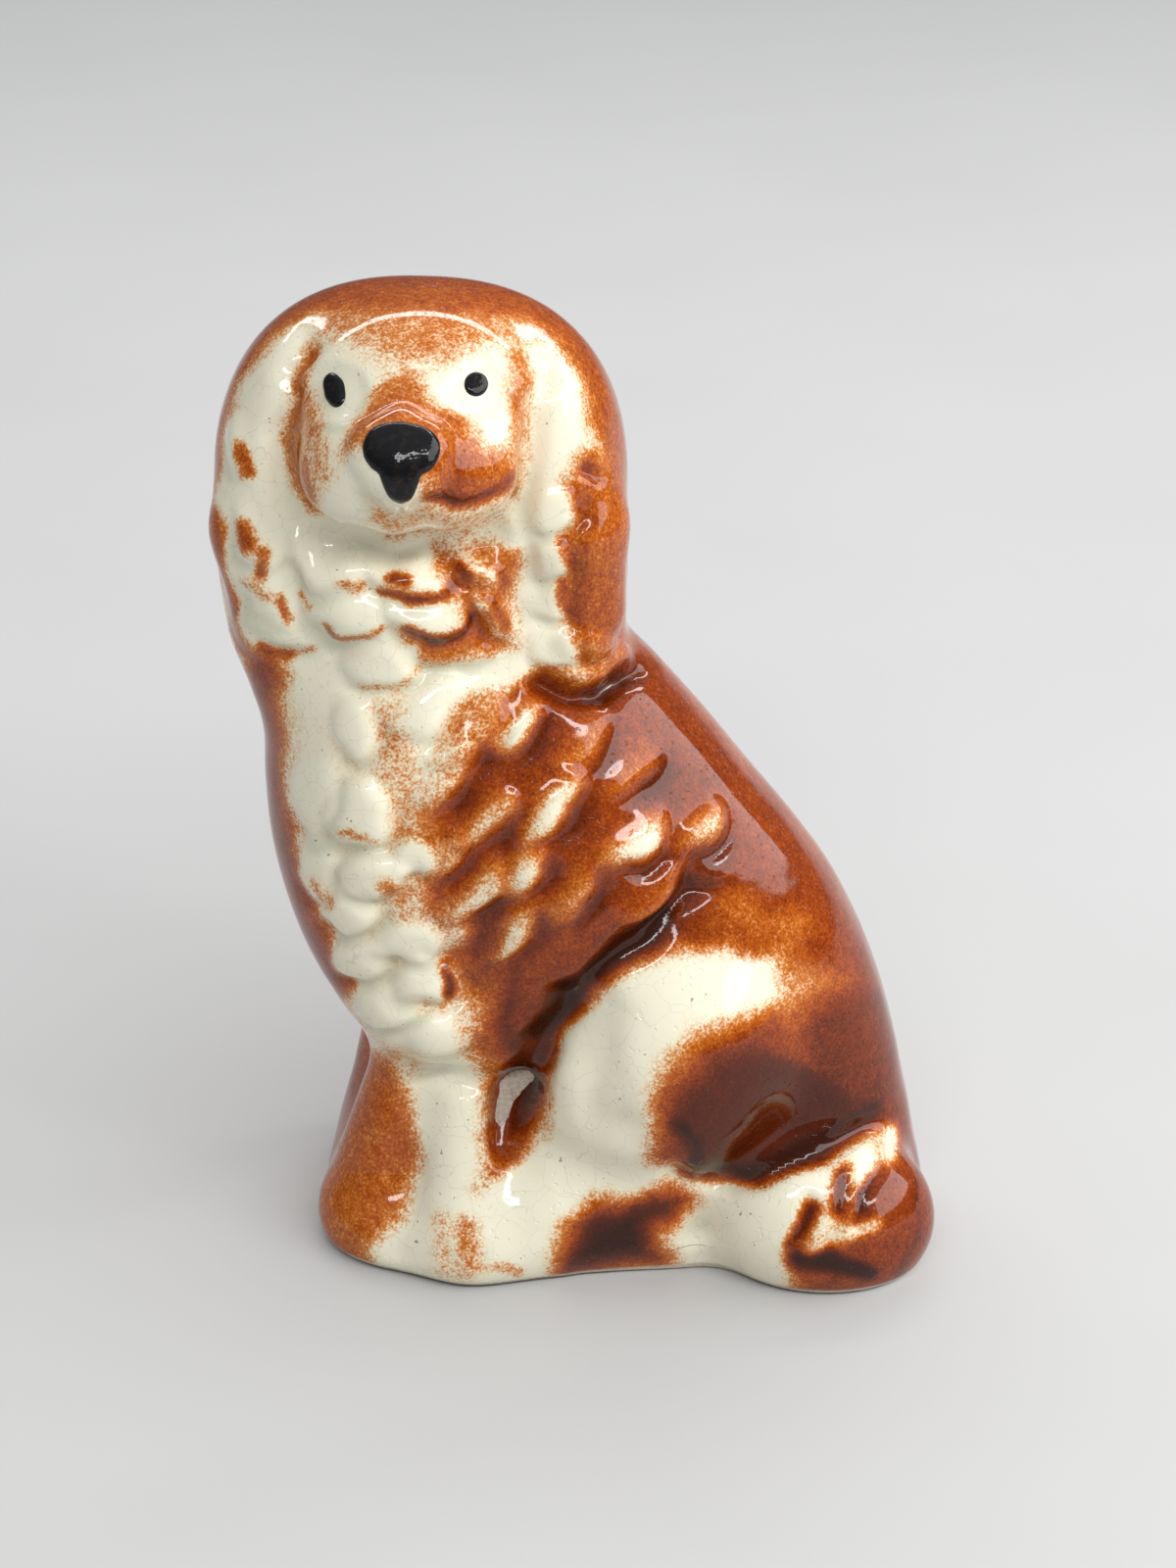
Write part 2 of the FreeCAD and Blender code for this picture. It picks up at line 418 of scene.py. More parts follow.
@dataclass(frozen=True)
class Patch:
    """Area of colour inside a closed outline, with a soft edge of the stated width."""

    points: tuple[Point, ...]
    soft: float = 1.5

    def reach(self) -> tuple[Point, Point]:
        """Lower and upper corner of the plan area that the patch touches."""
        return corners(self.points, self.soft)

    def cover(self, x: Array, w: Array) -> Array:
        """Cover from 0 to 1: inside by the even-odd count of edge crossings, softened by edge distance.

        Args:
            x: places across.
            w: places up.

        Returns:
            The cover at each place.
        """
        ring = (*self.points, self.points[0])
        inside = np.zeros(x.shape, bool)
        for (x0, w0), (x1, w1) in zip(ring, ring[1:]):
            crosses = (w0 > w) != (w1 > w)
            rise = w1 - w0 if w1 != w0 else 1.0
            inside ^= crosses & (x < (x1 - x0) * (w - w0) / rise + x0)
        gap, _ = along(ring, x, w)
        return ease(np.where(inside, gap, -gap), -self.soft, self.soft)


@dataclass(frozen=True)
class Stroke:
    """Brush stroke of colour along a line."""

    points: tuple[Point, ...]
    width: float
    soft: float = 1.0

    def reach(self) -> tuple[Point, Point]:
        """Lower and upper corner of the plan area that the stroke touches."""
        return corners(self.points, self.width + self.soft)

    def cover(self, x: Array, w: Array) -> Array:
        """Cover from 0 to 1: full to half the width less the soft edge, then easing to none."""
        gap, _ = along(self.points, x, w)
        return 1 - ease(gap, self.width / 2 - self.soft / 2, self.width / 2 + self.soft / 2)


def corners(points: tuple[Point, ...], margin: float) -> tuple[Point, Point]:
    """Lower and upper corner of the box round some points, with a margin.

    Args:
        points: places on the plan.
        margin: millimetres added on every side.

    Returns:
        Lower corner and upper corner.
    """
    xs, ws = [p[0] for p in points], [p[1] for p in points]
    return (min(xs) - margin, min(ws) - margin), (max(xs) + margin, max(ws) + margin)


class Plan:
    """Chart of one side: pressed height, rubbed crests, grooves, and slip with some painted shade, on a fine
    even grid.
    """

    LOW: Point = (-38.0, -16.0)
    HIGH: Point = (31.0, 79.0)
    STEP = 0.125
    WAVES = 20
    WAVE_LENGTHS: Point = (1.3, 7.0)
    WAVE_SIZE = 0.028

    def __init__(self, seed: int) -> None:
        """Start with a blank chart, whose hand-made unevenness comes from the seed.

        Args:
            seed: number that the random draws start from.
        """
        self.x = np.arange(self.LOW[0], self.HIGH[0], self.STEP)
        self.w = np.arange(self.LOW[1], self.HIGH[1], self.STEP)
        shape = (len(self.w), len(self.x))
        self.bent = self.wander(seed)
        self.layers = {name: np.zeros(shape) for name in ("height", "crest", "groove", "slip")}

    def window(self,
               mark: "Lock | Curl | Crease | Patch | Stroke") -> tuple[tuple[slice, slice], Array, Array]:
        """The part of the grid that a mark can reach, and its places across and up.

        Args:
            mark: anything with a reach.

        Returns:
            Slices of the grid, places across, and places up.
        """
        (x0, w0), (x1, w1) = mark.reach()
        area = (slice(*np.searchsorted(self.w, (w0, w1))), slice(*np.searchsorted(self.x, (x0, x1))))
        return area, self.bent[0][area], self.bent[1][area]

    def wander(self, seed: int) -> tuple[Array, Array]:
        """Places across and up, each shifted by a sum of small sine waves, so no edge is ruled.

        Args:
            seed: number that the random draws start from.

        Returns:
            Places across, and places up, over the whole grid.
        """
        random = np.random.default_rng(seed)
        x, w = np.meshgrid(self.x, self.w)
        bent = [x.copy(), w.copy()]
        for _ in range(self.WAVES):
            length, angle, phase = random.uniform(*self.WAVE_LENGTHS), *random.uniform(0, 2 * math.pi, 2)
            wave = np.sin((x * math.cos(angle) + w * math.sin(angle)) * 2 * math.pi / length + phase)
            for part, share in zip(bent, random.normal(0, self.WAVE_SIZE, 2)):
                part += share * length**0.6 * wave
        return bent[0], bent[1]

    def press(self, *marks: "Lock | Curl | Crease") -> None:
        """Add the marks to the height, and keep the strongest crest and groove at each place.

        Args:
            marks: locks, curls and creases.
        """
        for mark in marks:
            area, x, w = self.window(mark)
            height, crest, groove = mark.shape(x, w)
            self.layers["height"][area] += height
            for name, value in (("crest", crest), ("groove", groove)):
                self.layers[name][area] = np.maximum(self.layers[name][area], value)

    def dab(self, amount: float, *marks: "Patch | Stroke") -> None:
        """Lay slip, in a few places as painted shade: at each place the slip becomes at least the amount
        times the mark's cover.

        Args:
            amount: slip where the cover is full.
            marks: patches and strokes.
        """
        for mark in marks:
            area, x, w = self.window(mark)
            self.layers["slip"][area] = np.maximum(self.layers["slip"][area], amount * mark.cover(x, w))

    def wipe(self, amount: float, *marks: "Patch | Stroke") -> None:
        """Take slip off: what is left is one less the amount times the mark's cover.

        Args:
            amount: share taken off where the cover is full.
            marks: patches and strokes.
        """
        for mark in marks:
            area, x, w = self.window(mark)
            self.layers["slip"][area] *= 1 - amount * mark.cover(x, w)

    def soften(self, name: str, spread: float) -> None:
        """Blur a layer, as thick glaze does: repeated 1-2-1 means along both ways, to a spread in mm.

        Args:
            name: the layer.
            spread: standard deviation in millimetres.
        """
        grid = self.layers[name]
        for _ in range(round(2 * (spread / self.STEP) ** 2)):
            grid[1:-1] = (grid[:-2] + 2 * grid[1:-1] + grid[2:]) / 4
            grid[:, 1:-1] = (grid[:, :-2] + 2 * grid[:, 1:-1] + grid[:, 2:]) / 4

    def rub(self, amount: float) -> None:
        """Rub slip off the raised crests: what is left is one less the amount times the crest."""
        self.layers["slip"] *= 1 - amount * np.clip(self.layers["crest"], 0, 1)

    def read(self, name: str, p: Array) -> Array:
        """Value of one layer at each point, as the weighted mean of the four nearest grid places.

        Args:
            name: the layer.
            p: points.

        Returns:
            One value for each point.
        """
        across, up = on_plan(p)
        u = np.clip((across - self.LOW[0]) / self.STEP, 0, len(self.x) - 1.001)
        v = np.clip((up - self.LOW[1]) / self.STEP, 0, len(self.w) - 1.001)
        i, j = v.astype(int), u.astype(int)
        fu, fv = u - j, v - i
        grid = self.layers[name]
        low = grid[i, j] * (1 - fu) + grid[i, j + 1] * fu
        high = grid[i + 1, j] * (1 - fu) + grid[i + 1, j + 1] * fu
        return low * (1 - fv) + high * fv


def front_plan() -> Plan:
    """Relief and slip of the modelled side.

    Returns:
        The finished chart.
    """
    plan = Plan(seed=5)
    press_head(plan)
    press_coat(plan)
    press_base(plan)
    for name in ("height", "crest", "groove"):
        plan.soften(name, 0.26)
    sponge_front(plan)
    plan.rub(1.05)
    brush_front(plan)
    plan.soften("slip", 0.2)
    return plan


def press_head(plan: Plan) -> None:
    """Press the face, the ears and the ruff.

    Args:
        plan: the front's chart.
    """
    plan.press(
        # furrows between the mask and both ears
        Crease(((-25.6, 71), (-28.2, 67.4), (-29, 62.6), (-28.6, 58), (-26.6, 54.6)), 0.9, 1, pooling_and_shade=0.3),
        Crease(((-9.4, 70.6), (-8.3, 67), (-8.8, 62.6), (-9.4, 58.6), (-11, 55.4)), 0.8, 1, pooling_and_shade=0.3),
        Crease(((-9.4, 57.5), (-9.9, 52), (-10.1, 47.5)), 0.7, 0.5, pooling_and_shade=0.3),
        # nose, eye hollows and the lips
        Curl((-18.8, 60.7), (4.2, 3.9), 1.1, groove=0, bare=0),
        Curl((-24.4, 65.6), (2.6, 2.6), height=-0.45, groove=0, bare=0),
        Curl((-13.5, 66.2), (2.6, 2.4), height=-0.45, groove=0, bare=0),
        Crease(((-18.6, 57.6), (-16.6, 56.9), (-13.4, 57), (-11.4, 58.3)), 0.55, 0.55, pooling_and_shade=0.9),
        Crease(((-18.6, 57.6), (-20.4, 56.9), (-23, 57.4)), 0.6, 0.3, pooling_and_shade=0.2),
        # step under the chin; the colour gathered in it is painted shade under the chin
        Crease(((-27, 56.4), (-25.4, 54.6), (-22.6, 53.9), (-19.4, 53.6), (-15.6, 53.8), (-12.6, 54.6),
                (-10.2, 56.4)), 1, 0.9, pooling_and_shade=0.35, fade=0.1),
        # left ear: creases that part its locks, and its lower end
        Lock((-33.2, 64.5), (-31.6, 58.6), 1, 0.5, 0.3),
        Lock((-32.8, 56.6), (-29.2, 52.4), 1.3, 0.8, 0.6),
        Lock((-31.8, 52.2), (-27.4, 48), 1.5, 0.9, 0.7),
        Lock((-31.6, 48.6), (-25.4, 46.6), 1.3, 0.8, 0.8),
        # right ear: white inner strip in bumps, and the heavy brown outer fall
        Curl((-7.2, 57.4), (1.9, 2.1), 0.55, 0.35),
        Curl((-7.5, 53.6), (1.8, 1.8), 0.5, 0.35),
        Curl((-7.3, 50.2), (1.8, 1.6), 0.45, 0.3),
        Curl((-7.4, 47), (2, 1.6), 0.4, 0.3),
        Crease(((-5.6, 60.6), (-3.4, 60)), 0.5, 0.8),
        Crease(((-5.4, 59.4), (-5, 56.8), (-5.8, 54.6), (-5.2, 52.6), (-6.2, 50),
                (-5.8, 47.6)), 0.6, 0.45, 0.5),
        Curl((-4.4, 46), (3.6, 2.4), 0.9, 0.4, bare=0.2),
        Crease(((-9, 44.6), (-5.6, 42.9), (-2.4, 43.4), (0.2, 46.2)), 0.9, 1.7, pooling_and_shade=1.3),
        # ruff in three falls of swags
        Lock((-28, 54.4), (-22.6, 51.2), 1.7, 1.3, 0.9),
        Lock((-27, 50.6), (-21, 47.6), 1.8, 1.3, 1),
        Lock((-22, 52.6), (-15.8, 50.8), 1.4, 1, 1),
        Lock((-20.6, 49.4), (-14.4, 48.2), 1.5, 1.2, 1.2),
        Lock((-15, 54), (-11.6, 51.4), 1.2, 0.8, 0.8),
        Lock((-13.8, 50.8), (-10.4, 48.2), 1.4, 0.9, 0.9),
        Lock((-19.2, 46.9), (-11.6, 46.2), 1.4, 0.9, 1, bare=0.3),
        Curl((-20.8, 44.9), (3.4, 1.7), 0.7, 0.5),
    )


def press_coat(plan: Plan) -> None:
    """Press the curls of the chest and the slanting locks of the flank.

    Args:
        plan: the front's chart.
    """
    plan.press(
        Curl((-22.8, 39.9), (2.2, 2.6), 0.59, 0.38),
        Curl((-22.3, 33.2), (3, 3), 0.98, 0.6),
        Curl((-21.2, 28.2), (2.9, 2.1), 0.85, 0.6),
        Curl((-23.6, 25.2), (2.6, 2.2), 0.72, 0.52),
        Curl((-22.4, 21), (2.5, 2), 0.65, 0.52),
        Curl((-18.4, 22.8), (3, 1.8), 0.52, 0.45),
        Curl((-16.8, 19.6), (3.2, 2.3), 0.91, 0.75),
        Curl((-20.6, 17), (2.8, 1.9), 0.52, 0.45),
        Curl((-16, 14.6), (3, 1.8), 0.39, 0.38),
        Curl((-26.2, 34.5), (2, 3.4), 0.39, 0.3),
        Curl((-26, 28.8), (1.8, 2.8), 0.39, 0.3),
        Curl((-18, 29.6), (1.8, 1.7), 0.3, 0.25),
    )
    plan.press(
        Lock((-14.4, 43.6), (-19.4, 39.6), 1.7, 0.9, 0.7),
        Lock((-11.2, 42.2), (-16.4, 36.8), 1.7, 0.8, 0.8, bare=0.5),
        Lock((-8, 42.6), (-11.8, 38), 1.6, 0.8, 0.5),
        Lock((-3, 41.8), (-5.8, 37), 1.7, 0.35, 0.25, bare=0.45),
        Lock((-13.2, 38.4), (-17.4, 33.8), 1.5, 0.8, 0.7, bare=0.6),
        Lock((-10.2, 35.2), (-14, 30.6), 1.6, 0.9, 0.9, bare=0.75),
        Lock((-4.8, 36.6), (-9, 31.4), 1.7, 1.1, 1),
        Lock((1.4, 39.4), (-2.2, 34.8), 1.6, 0.3, 0.25, bare=0.35),
        Lock((2.4, 33.6), (-2.2, 29.4), 1.8, 1.1, 0.9),
        Lock((7, 34.4), (3.2, 30.4), 1.6, 0.9, 0.8, bare=0.7),
        Lock((-14, 31.8), (-17.4, 27.8), 1.4, 0.7, 0.6, bare=0.6),
        Lock((-7.8, 30.8), (-10.4, 26.6), 1.4, 0.9, 0.8, bare=0.9),
        Lock((-3.2, 29.6), (-6.8, 24.8), 1.6, 0.8, 0.7, bare=0.5),
        Lock((4.2, 29.6), (-0.4, 24.8), 1.7, 0.8, 0.7, bare=0.35),
        Lock((-10.4, 29.4), (-15.2, 24.4), 1.5, 1, 1, bare=0.85),
        Lock((-7.8, 25.8), (-11.6, 21.2), 1.4, 0.9, 1, bare=0.9),
        Lock((-13.4, 24.6), (-16.2, 21.8), 1.2, 0.5, 0.5, bare=0.6),
        Crease(((-15, 20.4), (-14.6, 18.8), (-15.6, 17.4)), 0.7, 0.7, pooling_and_shade=1.2),
    )


def press_base(plan: Plan) -> None:
    """Press the creases round the haunch, legs, feet and tail.

    Args:
        plan: the front's chart.
    """
    plan.press(
        Crease(((6.4, 29.6), (5, 27.8), (3.2, 25.2), (0.6, 23), (-2.6, 20.6), (-5.2, 18.2)), 1.3, 1.5, 1.1),
        Crease(((-3.4, 20), (-5.6, 17.4), (-7.6, 13.6), (-9.2, 9.8), (-10.8, 5.4)), 1.7, 2.2, 1.3, fade=0.25),
        Crease(((-9.6, 11.5), (-10.2, 7), (-11, 3.4)), 1.3, 1.4, 1, fade=0.3),
        Crease(((-20.6, 12.8), (-17, 10.8), (-12.4, 10.4), (-10.6, 11.4)), 0.9, 0.8, pooling_and_shade=0.3),
        # the colour gathered in this crease is pooled glaze, and painted shade along the thigh
        Crease(((-1.6, 20), (-3.2, 15.4), (-2.4, 9.4), (-0.4, 5)), 2, 0.9, pooling_and_shade=0.4),
        Crease(((5.4, 2.8), (8.4, 1.9), (11.4, 3.1), (15, 4.7), (19.2, 6.7), (22.6, 8)), 0.8, 0.9,
               pooling_and_shade=1.1),
        # the colour gathered in this crease is pooled glaze, and painted shade between the haunch and the
        # foot
        Crease(((4.4, 4.4), (5.4, 0.6), (6.8, -3.6)), 1.8, 1, pooling_and_shade=0.6),
        Crease(((16.2, 2.6), (14.4, -2.4)), 0.55, 0.5),
        Crease(((19.2, 4.2), (18.2, 0.4), (16.8, -3)), 0.6, 0.5),
        Crease(((21.8, 5.6), (20.4, 1.8), (19, -1.4)), 0.6, 0.45),
        Crease(((-18.2, 6), (-18.6, -2), (-18.8, -5.4)), 1.6, 0.35, pooling_and_shade=0),
        Crease(((-14.6, -3.2), (-14.9, -5.4)), 0.5, 0.25, pooling_and_shade=0.2),
        Crease(((-11.6, -3.2), (-11.8, -5.4)), 0.5, 0.25, pooling_and_shade=0.2),
    )


def sponge_front(plan: Plan) -> None:
    """Sponge the iron slip on to the large areas of the modelled side, with painted shade in the haunch's
    groove and low on the haunch.

    Args:
        plan: the front's chart.
    """
    coat_edge = ((-10, 46), (-11.6, 44.4), (-14.4, 40.8), (-15.8, 37), (-17.6, 33.4), (-17.8, 30.5),
                 (-16.6, 26), (-14.8, 21.8), (-12.6, 17.2), (-12.8, 13), (-11.4, 10.6))
    plan.dab(1.12, Patch((*coat_edge, (-11.6, 2), (-8, 4), (-5.5, 6), (31, -16), (31, 60),
                         (-1, 50), (-5.4, 44.6)), 3.2))
    crown = ((-38, 60), (-34.4, 62), (-32.2, 67), (-30, 70.4), (-26.4, 72.2), (-20, 71.6), (-14.7, 71.9),
             (-10.3, 72), (-7.4, 70.4), (-5.2, 67), (-4.3, 62), (-4.3, 58), (-4.8, 50), (-5.8, 45.4),
             (0, 43), (6, 60), (0, 79), (-38, 79))
    plan.dab(0.86, Patch(crown, 1.5))
    forehead = ((-27.4, 72.4), (-25.4, 70.2), (-22.4, 68.6), (-19.4, 67.6), (-16.4, 67.6), (-13.6, 69),
                (-11, 69.6), (-9.6, 67), (-9, 71.4), (-14, 75), (-24, 75))
    plan.dab(0.56, Patch(forehead, 2.2))
    plan.dab(0.9, Stroke(((-34.8, 62), (-34.2, 55), (-33.2, 50), (-32, 45.4), (-30.6, 42.8)), 1.2, 1.2))
    plan.dab(1.12, Stroke(((-30.8, 44), (-30.8, 36), (-30, 29.5), (-28, 23.5), (-25.6, 18.5)), 4, 3))
    plan.dab(0.36, Stroke(((-28.8, 41), (-28, 31), (-25.4, 24)), 3, 3.6))
    plan.dab(0.2, Patch(((-27, 41), (-18, 41), (-16.6, 30), (-15, 16), (-20, 15), (-26, 24)), 4))
    plan.dab(0.42, Stroke(((-20, 41), (-18.6, 33), (-19, 26), (-17.4, 18)), 3.6, 4))
    # mask: bridge of the nose, the ring inside its edge, and the cheeks
    bridge = ((-20.8, 66.4), (-18.6, 67.4), (-16.6, 65.6), (-14.8, 64), (-12.6, 61.6), (-10.6, 62.4),
              (-10.2, 59.6), (-11.8, 57.4), (-15.6, 56.8), (-17.4, 58.6), (-21.4, 61), (-23.6, 60.6),
              (-22.6, 63.4))
    plan.dab(0.72, Patch(bridge, 1.3))
    plan.dab(0.62, Stroke(((-10.2, 69), (-9.7, 65), (-10, 61), (-11, 58.4)), 2.2, 2.2))
    plan.dab(0.75, Stroke(((-26.6, 69.4), (-27.8, 66.2), (-28, 62.4), (-27.2, 59.2),
                           (-26.2, 57.6)), 1.9, 1.8))
    plan.dab(0.45, Stroke(((-26.8, 65.4), (-26.2, 61.4), (-25.2, 59.4)), 2.6, 2.6))
    # ruff and its brown right side
    plan.dab(0.8, Patch(((-17.4, 54.2), (-13.2, 54.8), (-10.2, 54.2), (-10, 49.6), (-10.6, 46.4),
                         (-15.4, 45.2), (-18.8, 46), (-19.2, 47.8), (-15.6, 48.6), (-15, 50.6)), 1.4))
    # right ear's outer half, with a ragged inner side
    plan.dab(0.5, Stroke(((-5.8, 60), (-5.9, 53), (-6.6, 46.5)), 1.8, 2.6))
    plan.dab(0.85, Stroke(((-4.6, 61), (-4.2, 56), (-4.8, 51), (-5, 47)), 2.6, 2.2))
    # locket curl and the white band above the chest
    plan.wipe(0.95, Patch(((-24.8, 45.6), (-17.6, 46.4), (-17, 44.6), (-20.6, 43), (-24.6, 43.4)), 0.7))
    plan.wipe(1, Patch(((-16.6, 44.6), (-11, 45.8), (-9.4, 46.6), (-8.2, 45.2),
                        (-10.8, 43.4), (-16, 42.8)), 0.8))
    # chest curls
    plan.dab(0.5, Patch(((-23.8, 41.2), (-22.2, 41.6), (-21.8, 39.6), (-22.8, 38.4), (-24, 39.4)), 1.2))
    plan.dab(0.5, Patch(((-24.2, 33.8), (-23.2, 35), (-20.2, 34.6), (-19.8, 32.2), (-21.4, 30.8),
                         (-23.6, 31.6)), 1.4))
    plan.dab(0.32, Stroke(((-26.6, 21.6), (-22.6, 14), (-18, 11.6)), 2.4, 3))
    # haunch: wiped clean, with colour left at its lower right
    haunch = ((-6.9, 3), (-7.8, 6.4), (-7.8, 10.5), (-6.4, 14.9), (-3.8, 18.4), (-0.8, 20.7), (4, 22.6),
              (8.4, 22.8), (11.4, 21.4), (12.6, 19.2), (10.6, 17.4), (8, 16.4), (5.9, 14.6), (4.1, 12.4),
              (2.9, 9.9), (2.9, 7), (4.2, 4), (7.4, 1.4), (2, -2))
    plan.wipe(1, Patch(haunch, 1.6))
    plan.wipe(0.5, Stroke(((12.4, 20.4), (17.2, 16.8)), 4.6, 4))
    plan.wipe(0.35, Stroke(((13, 24.4), (8, 25.6)), 3, 3))
    # thick slip, darkened further as painted shade: in the haunch's groove, low on the haunch and under the
    # flank's locks
    plan.dab(1.65, Stroke(((3.2, 25.2), (-1.2, 21.9), (-5.2, 18.4), (-8.6, 14.4)), 2.6, 2.6))
    plan.dab(1.3, Stroke(((-9.4, 20.4), (-10.4, 16), (-9.6, 12), (-9, 7)), 2.6, 2.4))
    plan.dab(1.5, Patch(((5.6, 15), (2.6, 10.4), (3, 4.6), (7.4, 0.6), (15, 2.6), (25, 7), (20, 12.6),
                         (10.6, 16.4)), 3.4))
    plan.dab(2.05, Stroke(((4.6, 8), (6.4, 4.6), (9.6, 3.4), (16, 6.4), (21, 9)), 2.6, 5))
    plan.dab(1.3, Patch(((11.4, 15), (14.6, 19.4), (19, 21.6), (31, 22), (31, 5), (20, 4)), 3.8))
    plan.dab(1.15, Stroke(((24.6, 6), (24.4, 18), (20, 29)), 3.4, 3.6))
    # foot and tail wiped clean
    plan.wipe(1, Patch(((-11.8, 1.6), (-8.6, 3.8), (-6, 6.4), (7, 2.2), (11, 2.4), (14.3, 3.7), (18.6, 5.9),
                         (22.7, 7.3), (23.6, 7.2), (20, 2), (14, -5.5), (12, -9), (-14, -9)), 1))
    # far foreleg
    plan.dab(0.8, Patch(((-22.4, 13.4), (-20.2, 12.4), (-18.2, 9.4), (-17.6, 4), (-19.2, -1.6), (-21.4, -4.4),
                         (-22.4, -7.6), (-31, -7), (-31, 9)), 1.7))


def brush_front(plan: Plan) -> None:
    """Brush the small dark marks of the modelled side, over the rubbed crests.

    Args:
        plan: the front's chart.
    """
    plan.dab(1.15, Stroke(((-16.8, 57.6), (-14.8, 57.2), (-12.4, 57.8), (-10.8, 59.4)), 1.3, 1.1))
    plan.dab(0.42, Patch(((-21.4, 57.2), (-18.4, 56.6), (-13.6, 56.8), (-10.8, 58), (-10.8, 56.4),
                          (-13.4, 54.9), (-18, 54.5), (-21.2, 55.4)), 1.4))
    plan.dab(1.5, Stroke(((-19.6, 52.1), (-18.4, 51.4)), 0.8, 0.9),
             Stroke(((-14.6, 53.3), (-13.8, 52.1)), 0.7, 0.9))
    plan.dab(1.5, Stroke(((-20.8, 51), (-18.4, 50.2), (-15.8, 50.7), (-14.8, 51.6)), 0.6, 0.9))
    plan.dab(1.6, Stroke(((-18.8, 48), (-17, 47.4), (-14.8, 47.7), (-13.8, 48.7)), 0.8, 1))
    plan.dab(1.2, Stroke(((-25, 48.2), (-23.6, 47.3), (-21.6, 47.4), (-20.8, 48.1)), 0.5, 0.9))
    plan.dab(0.7, Stroke(((-13.2, 52), (-12, 49.4), (-13.4, 47.4)), 1.4, 1.8))
    plan.dab(0.8, Stroke(((-24, 51.2), (-23, 50.8), (-22.2, 51.4)), 0.6, 0.9))
    plan.dab(1.1, Stroke(((-11.4, 52.4), (-11, 51.6)), 0.9, 0.7),
             Stroke(((-11.8, 50.2), (-11, 49.2)), 1.1, 0.9))
    # left ear
    plan.dab(0.95, Stroke(((-31.8, 61.6), (-31.5, 59.6)), 1.1, 1.1),
             Stroke(((-30.2, 54.2), (-30.6, 52.2)), 0.8, 0.9))
    plan.dab(0.9, Stroke(((-32, 55.4), (-31.4, 54.8)), 1.5, 1.2),
             Stroke(((-29.4, 50), (-28.2, 48.9)), 0.8, 0.9))
    plan.dab(0.55, Stroke(((-31.6, 51.6), (-30.4, 50.4)), 0.8, 1),
             Stroke(((-27.2, 50.6), (-26.2, 50)), 0.6, 0.9))
    plan.dab(1.0, Stroke(((-31, 46.3), (-29.8, 45.6), (-28.4, 45.6)), 0.7, 0.9),
             Stroke(((-27.6, 45.7), (-26, 46.3)), 0.3, 0.7))
    plan.dab(0.9, Stroke(((-5.8, 59), (-5.4, 57.6)), 1.2, 1), Stroke(((-6.2, 54.6), (-5.6, 53.2)), 1.3, 1))
    plan.dab(0.9, Stroke(((-6.4, 51.4), (-5.8, 49.8)), 1.2, 1))
    plan.dab(0.5, Stroke(((-22.6, 43.4), (-19.4, 43.4), (-17.4, 45.2)), 0.6, 0.7))
    # chest
    plan.dab(0.8, Stroke(((-20.2, 28.2), (-19.8, 26.8)), 1, 1.4),
             Stroke(((-23.6, 31.6), (-21.4, 31.2)), 0.5, 1.2))
    plan.dab(1.35, Stroke(((-14.9, 20.8), (-14.4, 19.4), (-15.2, 18.2)), 0.9, 1.2))
    plan.dab(0.45, Stroke(((-13.6, 18.6), (-13.9, 13.4)), 1, 1.8))
    plan.dab(0.5, Stroke(((-25.8, 27.4), (-24.8, 25.8)), 1.2, 1.8),
             Stroke(((-14.6, 18.4), (-15.8, 17.2)), 1.1, 1.2))
    # haunch edge, foot patch and tail
    plan.dab(0.45, Stroke(((-6.9, 6), (-7.5, 10.5), (-6.2, 15), (-3.6, 18.3), (-0.6, 20.6)), 0.9, 1.3))
    patch = ((-4.4, -1.6), (-2.6, 0.2), (0.4, 0.8), (3.4, 1.2), (5.4, 0.6), (4.4, -0.8), (2.8, -1.6),
             (2.6, -3.2), (3.4, -4.6), (0.4, -4.8), (-2.4, -5.8), (-5, -6), (-5.4, -4))
    plan.dab(1.8, Patch(patch, 2.6))
    plan.dab(1.12, Patch(((20.8, 5.2), (19.6, 2.6), (18.4, -0.2), (16.2, -3.4), (14.4, -5.4), (13.6, -8),
                         (31, -9), (31, 8), (23.4, 7.4)), 2.4))
    plan.dab(1.35, Stroke(((24.6, 7), (25, 1), (24, -6)), 2.6, 3.4))
    plan.dab(1.95, Stroke(((15.2, -3.6), (17.6, -3.4), (20.6, -5)), 2.6, 2.8))
    plan.dab(1.3, Stroke(((15.9, 1.2), (14.3, -2.4)), 1.3, 1.3), Stroke(((18.6, 3.8), (17.6, 0.2)), 1.6, 1.4))
    plan.dab(1.4, Stroke(((20.9, 3.6), (20, 0.8)), 1.4, 1.5))
    plan.wipe(0.85, Stroke(((20.9, -0.3), (18.4, -1.4), (16, -2.8)), 1.3, 1.2))
    plan.wipe(0.9, Stroke(((22.8, 6.6), (22.2, 5.6)), 1.4, 1.1), Stroke(((20.4, 5), (19.8, 3.4)), 1.4, 1.1))
    # near leg: faint smudges
    plan.dab(0.35, Stroke(((-15.6, -1.4), (-15.2, -5.4)), 2.4, 2.8))
    plan.dab(0.55, Stroke(((-13.4, -2), (-12.6, -4.6)), 2.2, 2.2),
             Stroke(((-11.2, -5.4), (-8.6, -5.6)), 0.9, 1.2))
    plan.dab(0.4, Stroke(((-16, -5), (-13, -5.9)), 1, 1.4))


def press_back_locks(plan: Plan) -> None:
    """Press four uneven rows of faint locks into the plain side; odd rows are set half a lock along.

    Args:
        plan: the back's chart.
    """
    random = np.random.default_rng(23)
    least, most = (-1.1, -1.2, 0.8), (1.1, 1.2, 1.15)  # shift across and up, and size
    spacing, row_start, row_end = 5.6, -23.0, 3.0
    for row, level in enumerate((41.0, 36.4, 31.6, 27.0)):
        for start in np.arange(row_start + 2.8 * (row % 2), row_end - 1.5 * row, spacing):
            dx, dw, size = random.uniform(least, most)
            x, w = start + dx, level + dw
            plan.press(Lock((x + 1.9, w + 1.7), (x - 1.5, w - 1.8), 1.5 * size, 0.5 * size, 0.2, 0.3))


